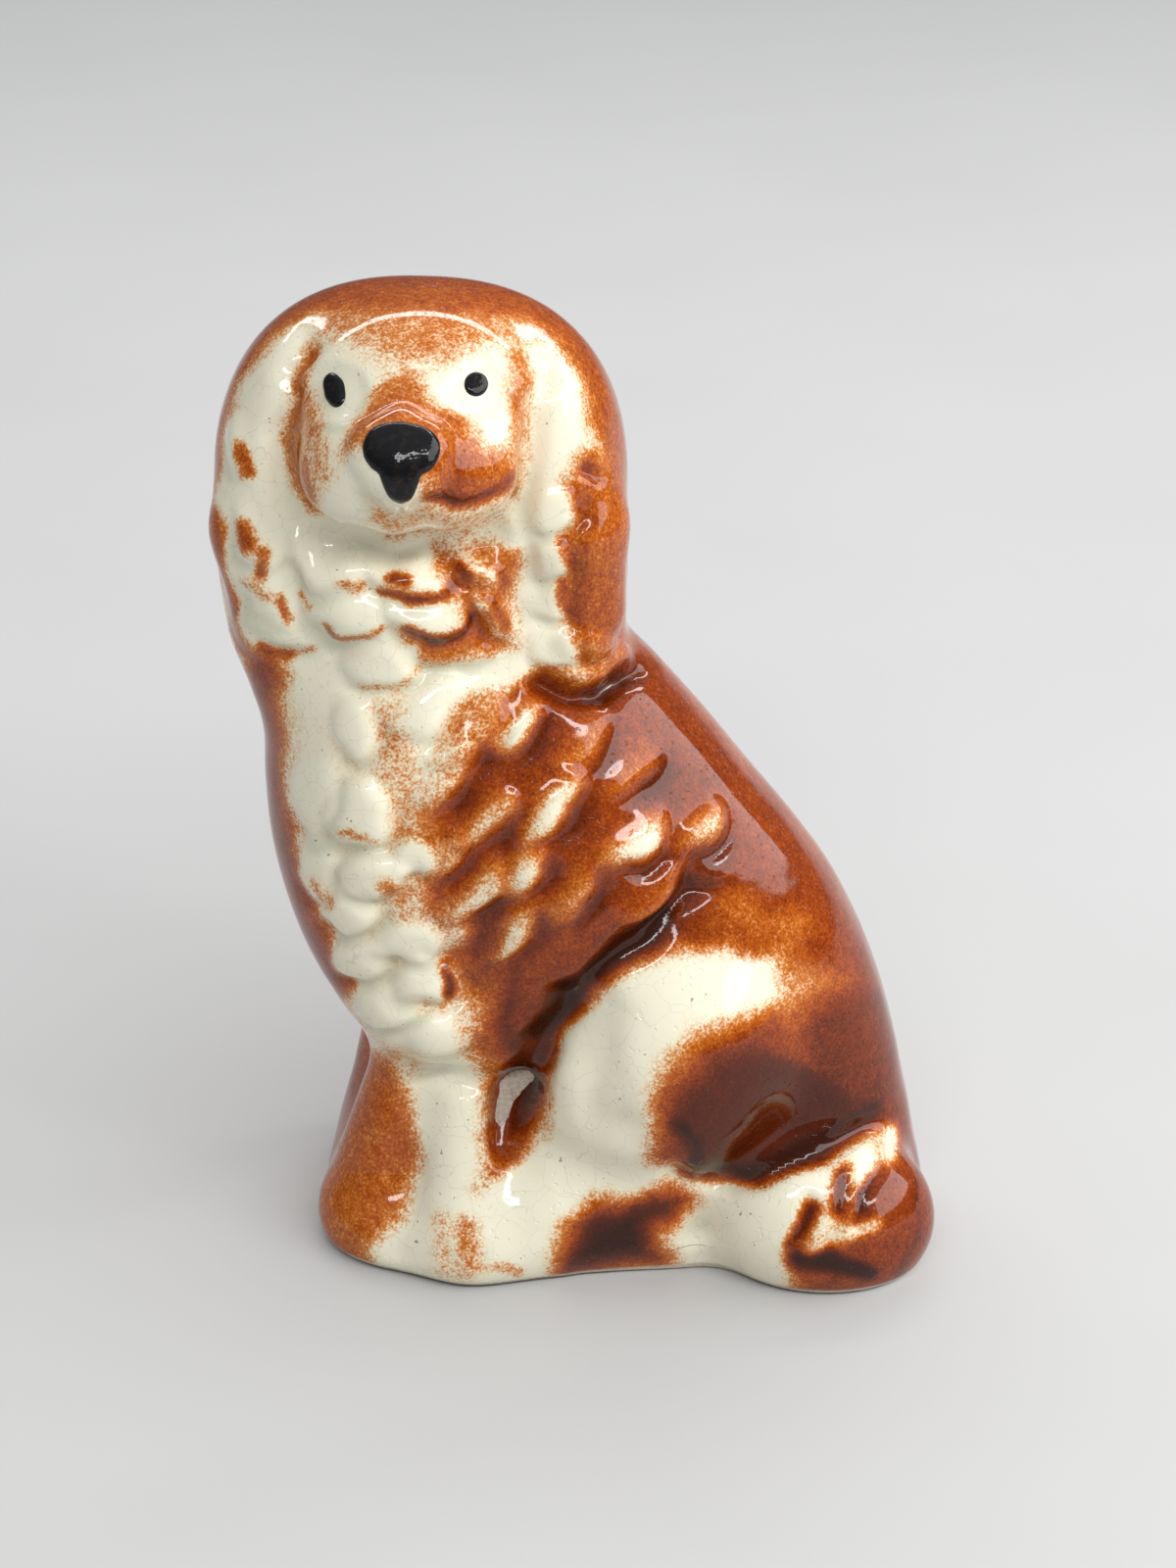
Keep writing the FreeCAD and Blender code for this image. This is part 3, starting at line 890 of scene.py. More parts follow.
def back_plan() -> Plan:
    """Relief and slip of the plain side: ear falls, haunch crease and an even brown coat over a white chest.

    Returns:
        The finished chart.
    """
    plan = Plan(seed=11)
    plan.press(
        Crease(((-10.4, 68), (-8.4, 62), (-8.6, 55), (-10.4, 49)), 1.6, 0.35, pooling_and_shade=0.12, fade=0.4),
        Crease(((-25.6, 67), (-27.8, 61), (-27.4, 54), (-25.8, 48)), 1.6, 0.35, pooling_and_shade=0.12, fade=0.4),
        Crease(((-10.6, 45.6), (-6.6, 44.4), (-2.6, 46)), 0.9, 0.7),
        Crease(((-32.6, 46), (-29.6, 44.4), (-26, 45.6)), 0.9, 0.7),
        Crease(((11, 27), (2, 25.6), (-4.6, 20.6), (-7.8, 12.4), (-7, 5.4)), 1.2, 0.9, 1),
        Crease(((6, 1.4), (12, 2.6), (19, 6)), 0.9, 0.7, 1),
        Crease(((-15.2, 12), (-14.4, 4), (-14.6, -3)), 1.2, 0.8, 0.7),
    )
    press_back_locks(plan)
    for name in ("height", "crest", "groove"):
        plan.soften(name, 0.4)
    plan.dab(1, Patch(((-38, -16), (31, -16), (31, 79), (-38, 79)), 1))
    plan.rub(0.4)
    plan.wipe(0.5, Patch(((-24, 10), (-26.8, 20), (-28.4, 30), (-28.6, 40), (-24, 42), (-21.5, 30),
                          (-20.5, 18), (-18.5, 10)), 4))
    plan.wipe(0.9, Patch(((-22, -2), (-21, -9), (-2, -9), (6, -5), (2, 0.5), (-8, -0.5)), 1.5))
    plan.wipe(0.4, Patch(((-3, 18.5), (4, 21.5), (8, 18), (3.5, 11), (-2, 10)), 5))
    plan.dab(1.3, Patch(((31, -9), (31, 7), (22, 6), (19, -2), (20, -9)), 3))
    plan.dab(1.4, Stroke(((6, 2.4), (-3, 4.6), (-8, 3)), 3, 3))
    plan.soften("slip", 0.3)
    return plan


# ---------------------------------------------------------------- the finished skin

SLOPE_REACH = 0.05  # millimetres each way

class Sculpt:
    """The clay form: trunk and masses joined, with the pressed relief taken as extra skin height."""

    SLIP_RUN, RELIEF_RUN = 2.8, 0.6  # how far each side of the seam the two charts are run together
    SEAM_FADE, FOOT_FADE = (0.2, 3.0), (0.2, 2.4)  # from no relief to all of it
    STEPS, STRIDE = 50, 0.75  # steps of a ray, and the share of the distance that each step takes

    def __init__(self) -> None:
        """Draw the plans of both sides."""
        self.plans = {Side.FRONT: front_plan(), Side.BACK: back_plan()}

    def plain(self, p: Array) -> Array:
        """Distance to the clay form before any relief.

        Args:
            p: points.

        Returns:
            A distance for each point, negative inside.
        """
        total = TRUNK.distance(p)
        for mass in (*FRONT_MASSES.values(), *BACK_MASSES.values()):
            total = join(total, mass.distance(p), mass.blend)
        return total

    def read(self, name: str, p: Array) -> Array:
        """One layer of the plans at each point, from its own side's plan; slip is run together at the seam.

        Args:
            name: the layer.
            p: points.

        Returns:
            One value for each point.
        """
        front = self.plans[Side.FRONT].read(name, p)
        back = self.plans[Side.BACK].read(name, p)
        reach = self.SLIP_RUN if name == "slip" else self.RELIEF_RUN
        share = ease(p[:, 1], -reach, reach)
        return front * (1 - share) + back * share

    def relief(self, p: Array) -> Array:
        """Height of the pressed relief over each place on the form; it fades at the seam and the foot.

        Args:
            p: points.

        Returns:
            One height for each point.
        """
        seam, foot = ease(np.abs(p[:, 1]), *self.SEAM_FADE), ease(p[:, 2], *self.FOOT_FADE)
        return self.read("height", p) * seam * foot

    def cast(self, origin: Array, way: Array, start: float = 45.0) -> "Skin":
        """Where each ray last leaves the finished skin.

        The ray walks inwards by part of its distance to the clay form each time, so it can't step through a
        thin place. The relief then moves the point out along the form's normal n by the height h, and the
        skin's normal is n less the part of the slope of h that lies along the surface.

        Args:
            origin: a point inside for each ray.
            way: unit direction of each ray.
            start: distance outside at which the walk begins.

        Returns:
            The skin at every ray.
        """
        reach = np.full(len(origin), start)
        for _ in range(self.STEPS):
            reach -= self.STRIDE * self.plain(origin + reach[:, None] * way)
        base = origin + reach[:, None] * way
        normal = slope_of(self.plain, base)
        normal /= np.linalg.norm(normal, axis=1, keepdims=True)
        climb = slope_of(self.relief, base)
        climb -= (climb * normal).sum(1, keepdims=True) * normal
        bent = normal - climb
        bent /= np.linalg.norm(bent, axis=1, keepdims=True)
        return Skin(base, base + normal * self.relief(base)[:, None], bent)


@dataclass(frozen=True)
class Skin:
    """Places on the finished skin: the clay form's own point, the point over it, and the outward normal."""

    base: Array
    points: Array
    normals: Array

    def shaped(self, shape: tuple[int, ...]) -> "Skin":
        """The same places arranged as a grid."""
        return Skin(*(part.reshape(*shape, 3) for part in (self.base, self.points, self.normals)))


def slope_of(distance: Callable[[Array], Array], p: Array) -> Array:
    """Slope of a value at each point, from the difference over a short way along each axis.

    Args:
        distance: function from points to values.
        p: points.

    Returns:
        One slope for each point.
    """
    axes = np.eye(3) * SLOPE_REACH
    return np.stack([distance(p + axis) - distance(p - axis) for axis in axes], axis=1) / (2 * SLOPE_REACH)


# ---------------------------------------------------------------- rays and grids

SIDE_STEP = 0.2  # half the thickness of a luting layer, so the gap between two skins' rims is twice this
JOINT_HEIGHT = 2.8  # where the walls' skin meets the slab's
CROWN_RUN, CHIN_RUN, LEVEL_RUN = 27.0, 36.0, 70.0  # distances down the skin where the rays' lean changes
CHIN_LEAN = -28.0  # degrees; the rays are level at the other two
HEAD_HEIGHT = 70.0
BODY_REACH = 12.0
LINE_LEVELS = (0, 13, 22.5, 32, 41.5, 50, 61)  # heights at which the line that rays start on is stated
LINE_CENTRES = (0.2, 1.4, -2.0, -6.2, -10.7, -15.0, -18.2)
LINE_HALVES = (13.5, 11.5, 10.6, 10.4, 8.5, 6.7, 6.0)
FRONT_COLUMNS, BACK_COLUMNS = 264, 152
COARSE = 8  # fine grid steps to one step of the inner skin
LIP = 0.3  # how far the rims are set in from the skin


@dataclass(frozen=True)
class Rays:
    """Origins and directions of rays, in a grid of rows down the figure and columns round it."""

    origin: Array
    way: Array


def fan(run: Array, turn: Array) -> Rays:
    """Rays that start on a line inside the figure and leave it nearly square to the skin.

    Each row starts on a short line along X: x = centre - half length times cos(turn). Its rays point to
    (-cos(turn) cos(lean), -sin(turn) cos(lean), sin(lean)). The lean goes from straight up at the crown,
    through level at the nose and below level under the chin, back to level on the body.

    Args:
        run: distance down the skin from the crown, one for each row.
        turn: angle round the figure from its left end, through the front, one for each column.

    Returns:
        The grid of rays, rows first.
    """
    lean = np.radians(np.interp(run, (0, CROWN_RUN, CHIN_RUN, LEVEL_RUN), (90, 0, CHIN_LEAN, 0)))
    drop = BODY_REACH * math.tan(math.radians(CHIN_LEAN))
    wanted = HEAD_HEIGHT + drop - (run - CHIN_RUN)
    height = np.where(run < CHIN_RUN, HEAD_HEIGHT, wanted - BODY_REACH * np.tan(lean))
    level = np.minimum(wanted, HEAD_HEIGHT)
    centre = np.interp(level, LINE_LEVELS, LINE_CENTRES)
    half = np.interp(level, LINE_LEVELS, LINE_HALVES)
    shape = (len(run), len(turn))
    origin = np.zeros((*shape, 3))
    origin[..., 0] = centre[:, None] - half[:, None] * np.cos(turn)
    origin[..., 2] = height[:, None]
    way = np.stack([
        -np.cos(lean)[:, None] * np.cos(turn),
        -np.cos(lean)[:, None] * np.sin(turn),
        np.broadcast_to(np.sin(lean)[:, None], shape),
    ], axis=-1)
    way[np.abs(way) < 1e-12] = 0.0
    return Rays(origin, way)


def run_at(height: Array) -> Array:
    """Distance down the skin at which a level ray has the stated height.

    Args:
        height: heights above the table.

    Returns:
        One distance for each height.
    """
    return HEAD_HEIGHT + BODY_REACH * math.tan(math.radians(CHIN_LEAN)) + CHIN_RUN - height


class Mesher:
    """Closed mesh being put together from grids of points."""

    def __init__(self) -> None:
        """Start empty."""
        self.points: list[Array] = []
        self.places: list[Array] = []
        self.normals: list[Array] = []
        self.faces: list[list[int]] = []
        self.count = 0
        self.skinned = 0

    def add(self, points: Array, skin: Skin | None = None) -> Array:
        """Keep some points and return their numbers in the same arrangement.

        Args:
            points: the points, in any arrangement.
            skin: the skin that they lie on, for its normals and its places on the charts.

        Returns:
            The points' numbers.
        """
        flat = points.reshape(-1, 3)
        numbers = np.arange(self.count, self.count + len(flat)).reshape(points.shape[:-1])
        self.points.append(flat)
        self.places.append(flat if skin is None else skin.base.reshape(-1, 3))
        self.normals.append(np.zeros_like(flat) if skin is None else skin.normals.reshape(-1, 3))
        self.count += len(flat)
        return numbers

    def grid(self, numbers: Array, round_columns: bool = False, inward: bool = False,
             skin: bool = False) -> None:
        """Four-sided faces over a grid of point numbers, rows going down as seen from outside.

        Args:
            numbers: point numbers, rows first.
            round_columns: the last column joins the first.
            inward: the faces look to the other side.
            skin: the faces belong to the glazed skin, which takes the sculpt's own normals.
        """
        if round_columns:
            numbers = np.concatenate([numbers, numbers[:, :1]], axis=1)
        a, b, c, d = numbers[:-1, :-1], numbers[1:, :-1], numbers[1:, 1:], numbers[:-1, 1:]
        order = (a, d, c, b) if inward else (a, b, c, d)
        self.faces += np.stack(order, axis=-1).reshape(-1, 4).tolist()
        if skin:
            self.skinned = len(self.faces)

    def stitch(self, fine: Array, coarse: Array) -> None:
        """Faces between a closed fine edge and a closed coarse one with a point for each COARSE of its own.

        Args:
            fine: point numbers round the fine edge.
            coarse: point numbers round the coarse edge.
        """
        edges = np.concatenate([fine.reshape(-1, COARSE), np.roll(fine, -COARSE)[::COARSE, None]], axis=1)
        self.faces += np.column_stack([edges, np.roll(coarse, -1), coarse]).tolist()

    def build(self, name: str, sculpt: Sculpt, bare: Array | None = None) -> bpy.types.Object:
        """Make the Blender object, in metres, with its glaze values and normals.

        Args:
            name: the object's name.
            sculpt: the form and its charts.
            bare: how bare the clay is at each point, from 0 to 1; none of it when left out.

        Returns:
            The object, linked into the scene.
        """
        points = np.concatenate(self.points)
        mesh = bpy.data.meshes.new(name)
        mesh.from_pydata((points * MM).tolist(), [], self.faces)
        mesh.shade_smooth()
        values = glaze_values(sculpt, np.concatenate(self.places))
        values["bare"] = np.zeros(len(points)) if bare is None else bare
        for label, value in values.items():
            layer = mesh.attributes.new(label, "FLOAT", "POINT")
            layer.data.foreach_set("value", np.ascontiguousarray(value, np.float32))
        if self.skinned:
            mesh.normals_split_custom_set(self.corner_normals(mesh, np.concatenate(self.normals)).tolist())
        made = bpy.data.objects.new(name, mesh)
        bpy.context.scene.collection.objects.link(made)
        return made

    def corner_normals(self, mesh: bpy.types.Mesh, normals: Array) -> Array:
        """Normal for each face corner: the sculpt's on skin faces, the face's own elsewhere.

        Args:
            mesh: the mesh.
            normals: one normal for each point.

        Returns:
            One normal for each face corner.
        """
        corner = np.empty(len(mesh.loops), np.int32)
        mesh.loops.foreach_get("vertex_index", corner)
        total = np.empty(len(mesh.polygons), np.int32)
        mesh.polygons.foreach_get("loop_total", total)
        flat = np.empty(len(mesh.polygons) * 3, np.float32)
        mesh.polygons.foreach_get("normal", flat)
        on_skin = np.repeat(np.arange(len(total)) < self.skinned, total)
        own = np.repeat(flat.reshape(-1, 3), total, axis=0)
        return np.where(on_skin[:, None], normals[corner], own)


def glaze_values(sculpt: Sculpt, points: Array) -> dict[str, Array]:
    """How much iron slip lies at each point, and how deep the glaze pools there, each with painted shade in
    it.

    Slip runs into the grooves, so iron = slip plus 0.3 of the groove wherever there is slip to run; this
    darkening of the grooves is partly painted shade.

    Args:
        sculpt: the clay form.
        points: points on the skin.

    Returns:
        Values for each point, under the names that the finishes read.
    """
    slip, groove = (sculpt.read(name, points) for name in ("slip", "groove"))
    # the grooves' darkness: pooled glaze and slip, and painted shade under the locks and in the creases
    pool_and_shade = np.clip(groove, 0, 1.5)
    return {"iron_and_shade": slip + 0.3 * pool_and_shade * ease(slip, 0.1, 0.8), "pool_and_shade": pool_and_shade}


# ---------------------------------------------------------------- the pieces


@dataclass
class MouldedShell:
    """One pressed half of the figure: glazed outer skin, stepped rim and a plain inner skin 3 mm within."""

    name: str
    side: Side
    columns: int
    rows: int = 336
    wall: float = 3.0

    def turns(self) -> Array:
        """Angles of the columns: from the left end to the right for the front, and on round for the back."""
        first = 0.0 if self.side is Side.FRONT else math.pi
        return first + np.linspace(0, math.pi, self.columns + 1)

    def dress(self, sculpt: Sculpt) -> bpy.types.Object:
        """Cast the outer skin, set the inner skin in from it along the rays, and close the rim between them.

        Args:
            sculpt: the clay form.

        Returns:
            The piece.
        """
        run = np.linspace(0, run_at(np.array(JOINT_HEIGHT)), self.rows + 1)
        rays = fan(run, self.turns())
        skin = sculpt.cast(rays.origin.reshape(-1, 3), rays.way.reshape(-1, 3)).shaped(rays.way.shape[:2])
        mesher = Mesher()
        outer = mesher.add(skin.points, skin)
        mesher.grid(outer, skin=True)
        step = self.steps(skin.points.shape)
        lip = skin.points - LIP * rays.way + step
        lip_edge = mesher.add(lip[edge_of(lip.shape)])
        outer_edge = outer[edge_of(lip.shape)]
        band = np.stack([lip_edge, outer_edge])
        mesher.grid(band, round_columns=True)
        inner_points = (skin.base - self.wall * rays.way + step)[::COARSE, ::COARSE]
        inner = mesher.add(inner_points)
        mesher.stitch(lip_edge, inner[edge_of(inner_points.shape)])
        mesher.grid(inner, inward=True)
        bare = np.ones(mesher.count)
        bare[: outer.size] = 0.0
        made = mesher.build(self.name, sculpt, bare)
        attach(made, "root")
        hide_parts(self.name)
        return made

    def steps(self, shape: tuple[int, ...]) -> Array:
        """Shift of the rim away from its neighbour: along Y at the seam, and up at the foot.

        Args:
            shape: rows and columns of the grid.

        Returns:
            A shift for each place of the grid.
        """
        step = np.zeros(shape)
        away = SIDE_STEP * self.side.value
        step[0, :, 1] = away
        step[:, 0, 1] = away
        step[:, -1, 1] = away
        step[-1, :, 2] = SIDE_STEP
        return step


def edge_of(shape: tuple[int, ...]) -> tuple[Array, Array]:
    """Row and column numbers round the edge of a grid: along the top, down, back along the foot, and up.

    Args:
        shape: rows and columns of the grid.

    Returns:
        Row numbers, and column numbers.
    """
    rows, columns = shape[0], shape[1]
    down, across = np.arange(rows - 1), np.arange(columns - 1)
    row = np.concatenate([0 * across, down, 0 * across + rows - 1, down[::-1] + 1])
    column = np.concatenate([across, 0 * down + columns - 1, across[::-1] + 1, 0 * down])
    return row, column


@dataclass
class BaseSlab:
    """Flat slab under the figure: glazed side, bare foot rim, and a vent hole through it."""

    name: str = "base_slab"
    vent_x: float = 9.0
    vent_radius: float = 3.0
    heights: tuple[float, ...] = (2.8, 2.4, 2.0, 1.6, 1.3, 1.0, 0.7, 0.4, 0.15)  # rings down the glazed side
    tuck: Triple = (0.05, 0.18, 0.4)  # how far its last three rings are drawn in
    sole_edge: float = 0.35
    top: float = 2.6
    chamfer: float = 0.12
    rings: tuple[float, ...] = (0.0, 0.08, 0.3, 0.65, 0.96, 1.0)  # shares of the way from the rim to the vent
    wiped: Point = (0.7, 1.05)  # height over which the glaze was wiped off the foot

    def turns(self) -> Array:
        """Angles of the columns all the way round, the same as those of the two shells above.

        Returns:
            One angle for each column.
        """
        front = np.linspace(0, math.pi, FRONT_COLUMNS + 1)
        back = math.pi + np.linspace(0, math.pi, BACK_COLUMNS + 1)
        return np.concatenate([front[:-1], back[:-1]])

    def dress(self, sculpt: Sculpt) -> bpy.types.Object:
        """Side skin from the rays, then rings across the underside, up the vent and back over the top.

        Args:
            sculpt: the clay form.

        Returns:
            The piece.
        """
        turn = self.turns()
        heights = np.array(self.heights)
        rays = fan(run_at(heights), turn)
        skin = sculpt.cast(rays.origin.reshape(-1, 3), rays.way.reshape(-1, 3)).shaped(rays.way.shape[:2])
        side, way = skin.points.copy(), rays.way[0]
        side[..., 2] = heights[:, None]
        side[-3:] -= np.array(self.tuck)[:, None, None] * way
        hole = np.zeros_like(way)
        hole[:, 0] = self.vent_x - self.vent_radius * np.cos(turn)
        hole[:, 1] = -self.vent_radius * np.sin(turn)
        share = np.array(self.rings)[:, None, None]
        sole = (side[-1] - self.sole_edge * way) * (1 - share) + hole * share
        sole[..., 2] = 0.0
        sole[-1, :, 2] = self.chamfer
        top = (side[0] - LIP * way) * (1 - share[::-1]) + hole * share[::-1]
        top[..., 2] = self.top
        mesher = Mesher()
        walls, floors = mesher.add(side, skin), mesher.add(np.concatenate([sole, top]))
        mesher.grid(walls, round_columns=True, skin=True)
        mesher.grid(np.concatenate([walls[-1:], floors, walls[:1]]), round_columns=True)
        points = np.concatenate(mesher.points)
        bare = np.where(np.arange(mesher.count) < side[..., 0].size, 1 - ease(points[:, 2], *self.wiped), 1.0)
        made = mesher.build(self.name, sculpt, bare)
        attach(made, "root")
        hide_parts(self.name)
        return made


@dataclass
class LutingLayers:
    """The two thin clay layers that join the pieces: round the seam, and round the foot."""

    depth: Point = (0.4, 2.9)  # how far under the skin they begin and end
    seam_foot: float = 3.1
    rows: int = 120
    crown_rows: int = 30
    foot_columns: int = 256
    fill: float = 0.95  # share of the gap that the clay fills

    def seam(self, sculpt: Sculpt) -> bpy.types.Object:
        """Ribbon up the left end, over the crown and down the right end, square in section.

        Args:
            sculpt: the clay form.

        Returns:
            The piece.
        """
        run = np.linspace(run_at(np.array(self.seam_foot)), 0, self.rows)
        left, right = fan(run, np.array([0.0])), fan(run[::-1], np.array([math.pi]))
        over = fan(np.array([0.0]), np.linspace(0, math.pi, self.crown_rows)[1:-1])
        origin = np.concatenate([left.origin[:, 0], over.origin[0], right.origin[:, 0]])
        way = np.concatenate([left.way[:, 0], over.way[0], right.way[:, 0]])
        skin = sculpt.cast(origin, way).points
        half = np.array([0.0, SIDE_STEP * self.fill, 0.0])
        near, far = skin - self.depth[0] * way, skin - self.depth[1] * way
        mesher = Mesher()
        numbers = mesher.add(np.stack([near - half, near + half, far + half, far - half], axis=1))
        mesher.grid(numbers, round_columns=True)
        mesher.faces += [numbers[0].tolist(), numbers[-1].tolist()[::-1]]
        return self.place(mesher, sculpt, "seam_slip")

    def foot(self, sculpt: Sculpt) -> bpy.types.Object:
        """Flat ring between the slab and the two shells.

        Args:
            sculpt: the clay form.

        Returns:
            The piece.
        """
        turn = np.linspace(0, 2 * math.pi, self.foot_columns, endpoint=False)
        rays = fan(run_at(np.array([JOINT_HEIGHT])), turn)
        way = rays.way[0]
        skin = sculpt.cast(rays.origin[0], way).points
        rise = np.array([0.0, 0.0, SIDE_STEP * self.fill])
        near, far = skin - self.depth[0] * way, skin - self.depth[1] * way
        mesher = Mesher()
        numbers = mesher.add(np.stack([near + rise, near - rise, far - rise, far + rise]))
        mesher.grid(np.concatenate([numbers, numbers[:1]]), round_columns=True)
        return self.place(mesher, sculpt, "base_slip")

    def place(self, mesher: Mesher, sculpt: Sculpt, name: str) -> bpy.types.Object:
        """Build one layer and give it its place in the frame.

        Args:
            mesher: the layer's points and faces.
            sculpt: the clay form.
            name: the layer's name.

        Returns:
            The piece.
        """
        made = mesher.build(name, sculpt)
        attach(made, "root")
        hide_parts(name)
        return made


@dataclass
class EnamelPad:
    """Drop of black enamel on the skin, domed, with a rolled edge that follows the relief below it."""

    name: str
    centre: Point
    angles: tuple[float, ...]
    radii: tuple[float, ...]
    proud: float = 0.3
    sunk: float = 0.25
    spokes: int = 72
    rings: int = 14

    def dress(self, sculpt: Sculpt) -> bpy.types.Object:
        """Cast a round grid on to the skin along the plan's own direction, then lift it into a dome.

        The outline is radius(angle), a smooth closed curve through the stated radii. The lift at the share q
        of the way out is proud (1 - q^4)^0.6 - sunk q^12.

        Args:
            sculpt: the clay form.

        Returns:
            The piece.
        """
        angle = np.linspace(0, 2 * math.pi, self.spokes, endpoint=False)
        knots = np.add.outer((-360.0, 0.0, 360.0), self.angles).ravel()
        reach = through(np.degrees(angle), knots, np.tile(self.radii, 3))
        share = np.linspace(0, 1, self.rings) ** 0.8
        x = self.centre[0] + share[:, None] * reach * np.cos(angle)
        w = self.centre[1] + share[:, None] * reach * np.sin(angle)
        origin = np.stack([x, 0 * x, w / math.cos(TILT)], axis=-1)
        way = np.array([0, -math.cos(TILT), math.sin(TILT)])
        flat = origin.reshape(-1, 3)
        skin = sculpt.cast(flat, np.broadcast_to(way, flat.shape)).shaped(origin.shape[:2])
        q = share[:, None, None]
        top = skin.points + skin.normals * (self.proud * (1 - q**4) ** 0.6 - self.sunk * q**12)
        under = skin.points - skin.normals * self.sunk * (1 + 0.5 * (1 - q * q))
        mesher = Mesher()
        crown, floor = mesher.add(top[:1, 0]), mesher.add(under[:1, 0])
        upper, lower = mesher.add(top[1:]), mesher.add(under[1:-1])
        numbers = np.concatenate([upper, lower[::-1]])
        mesher.grid(numbers, round_columns=True)
        tops = np.stack([0 * upper[0] + crown[0], upper[0], np.roll(upper[0], -1)], axis=1)
        floors = np.stack([0 * lower[0] + floor[0], np.roll(lower[0], -1), lower[0]], axis=1)
        mesher.faces += np.stack([tops, floors], axis=1).reshape(-1, 3).tolist()
        made = mesher.build(self.name, sculpt)
        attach(made, "root")
        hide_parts(self.name)
        return made


# ---------------------------------------------------------------- finishes

PALE_CLAY, DARK_CLAY = (0.56, 0.50, 0.42), (0.40, 0.34, 0.27)


class Tree:
    """A material's node tree, with short calls for the few kinds of node used here."""

    def __init__(self, name: str) -> None:
        """Make the material, and coordinates in millimetres from the object's own.

        Args:
            name: name of the material.
        """
        self.material = bpy.data.materials.new(name)
        self.material.use_nodes = True
        self.nodes = self.material.node_tree.nodes
        self.links = self.material.node_tree.links
        self.shader = self.nodes["Principled BSDF"]
        place = self.nodes.new("ShaderNodeTexCoord")
        scaled = self.nodes.new("ShaderNodeVectorMath")
        scaled.operation = "SCALE"
        scaled.inputs["Scale"].default_value = 1 / MM
        self.links.new(place.outputs["Object"], scaled.inputs[0])
        self.place = scaled.outputs[0]

    def feed(self, socket: bpy.types.NodeSocket, value: object) -> None:
        """Link a socket, or set a plain value, into an input.

        Args:
            socket: the input.
            value: a socket, a number or a colour.
        """
        if isinstance(value, bpy.types.NodeSocket):
            self.links.new(value, socket)
        else:
            socket.default_value = value

    def attribute(self, name: str) -> bpy.types.NodeSocket:
        """One of the mesh's own values.

        Args:
            name: name of the value.

        Returns:
            Its socket.
        """
        node = self.nodes.new("ShaderNodeAttribute")
        node.attribute_name = name
        return node.outputs["Fac"]

    def math(self, operation: str, a: object, b: object) -> bpy.types.NodeSocket:
        """Arithmetic on two values, at least one of which varies.

        Args:
            operation: Blender's name for it.
            a: socket or number.
            b: socket or number.

        Returns:
            Socket of the answer.
        """
        node = self.nodes.new("ShaderNodeMath")
        node.operation = operation
        self.feed(node.inputs[0], a)
        self.feed(node.inputs[1], b)
        return node.outputs[0]

    def about_half(self, value: object, share: float) -> bpy.types.NodeSocket:
        """A share of how far a value lies above or below one half."""
        return self.math("MULTIPLY", self.math("SUBTRACT", value, 0.5), share)

    def noise(self, scale: float, detail: float = 3.0, roughness: float = 0.55) -> bpy.types.NodeSocket:
        """Cloudy noise with the stated number of cells per millimetre.

        Args:
            scale: cells per millimetre.
            detail: number of finer layers.
            roughness: strength of each finer layer.

        Returns:
            Socket of the noise, about one half.
        """
        node = self.nodes.new("ShaderNodeTexNoise")
        self.links.new(self.place, node.inputs["Vector"])
        for label, value in (("Scale", scale), ("Detail", detail), ("Roughness", roughness)):
            node.inputs[label].default_value = value
        return node.outputs["Fac"]

    def span(self, value: object, low: float, high: float, to_low: float = 0.0,
             to_high: float = 1.0) -> bpy.types.NodeSocket:
        """Smooth step of a value between two levels.

        Args:
            value: socket.
            low: where the step starts.
            high: where it ends.
            to_low: result at its start.
            to_high: result at its end.

        Returns:
            Socket of the step.
        """
        node = self.nodes.new("ShaderNodeMapRange")
        node.interpolation_type = "SMOOTHSTEP"
        for index, level in enumerate((low, high, to_low, to_high), start=1):
            node.inputs[index].default_value = level
        self.feed(node.inputs[0], value)
        return node.outputs[0]

    def ramp(self, value: object, stops: tuple[tuple[float, Triple], ...]) -> bpy.types.NodeSocket:
        """Colour read from a row of stops.

        Args:
            value: socket.
            stops: places and colours, in order.

        Returns:
            Socket of the colour.
        """
        node = self.nodes.new("ShaderNodeValToRGB")
        elements = node.color_ramp.elements
        while len(elements) < len(stops):
            elements.new(1.0)
        for element, (position, colour) in zip(elements, stops):
            element.position = position
            element.color = (*colour, 1.0)
        self.feed(node.inputs[0], value)
        return node.outputs[0]

    def mix(self, share: object, a: object, b: object) -> bpy.types.NodeSocket:
        """Blend of two colours by a share that varies.

        Args:
            share: socket.
            a: colour at 0.
            b: colour at 1.

        Returns:
            Socket of the colour.
        """
        node = self.nodes.new("ShaderNodeMix")
        node.data_type = "RGBA"
        self.feed(node.inputs[0], share)
        for socket, value in ((node.inputs[6], a), (node.inputs[7], b)):
            self.feed(socket, (*value, 1.0) if isinstance(value, tuple) else value)
        return node.outputs[2]

    def bump(self, height: object, distance: float, under: object = None) -> bpy.types.NodeSocket:
        """Normals from a height that varies; the distance is in millimetres.

        Args:
            height: socket.
            distance: millimetres for a height of 1.
            under: normals that these are laid over.

        Returns:
            Socket of the normals.
        """
        node = self.nodes.new("ShaderNodeBump")
        node.inputs["Distance"].default_value = distance * MM
        node.inputs["Strength"].default_value = 1.0
        self.feed(node.inputs["Height"], height)
        if under is not None:
            self.feed(node.inputs["Normal"], under)
        return node.outputs["Normal"]

    def finish(self, **inputs: object) -> bpy.types.Material:
        """Set or link the shader's inputs, named with underscores, and give the material back.

        Args:
            inputs: sockets, numbers and colours.

        Returns:
            The finished material.
        """
        for label, value in inputs.items():
            self.feed(self.shader.inputs[label.replace("_", " ")], value)
        return self.material


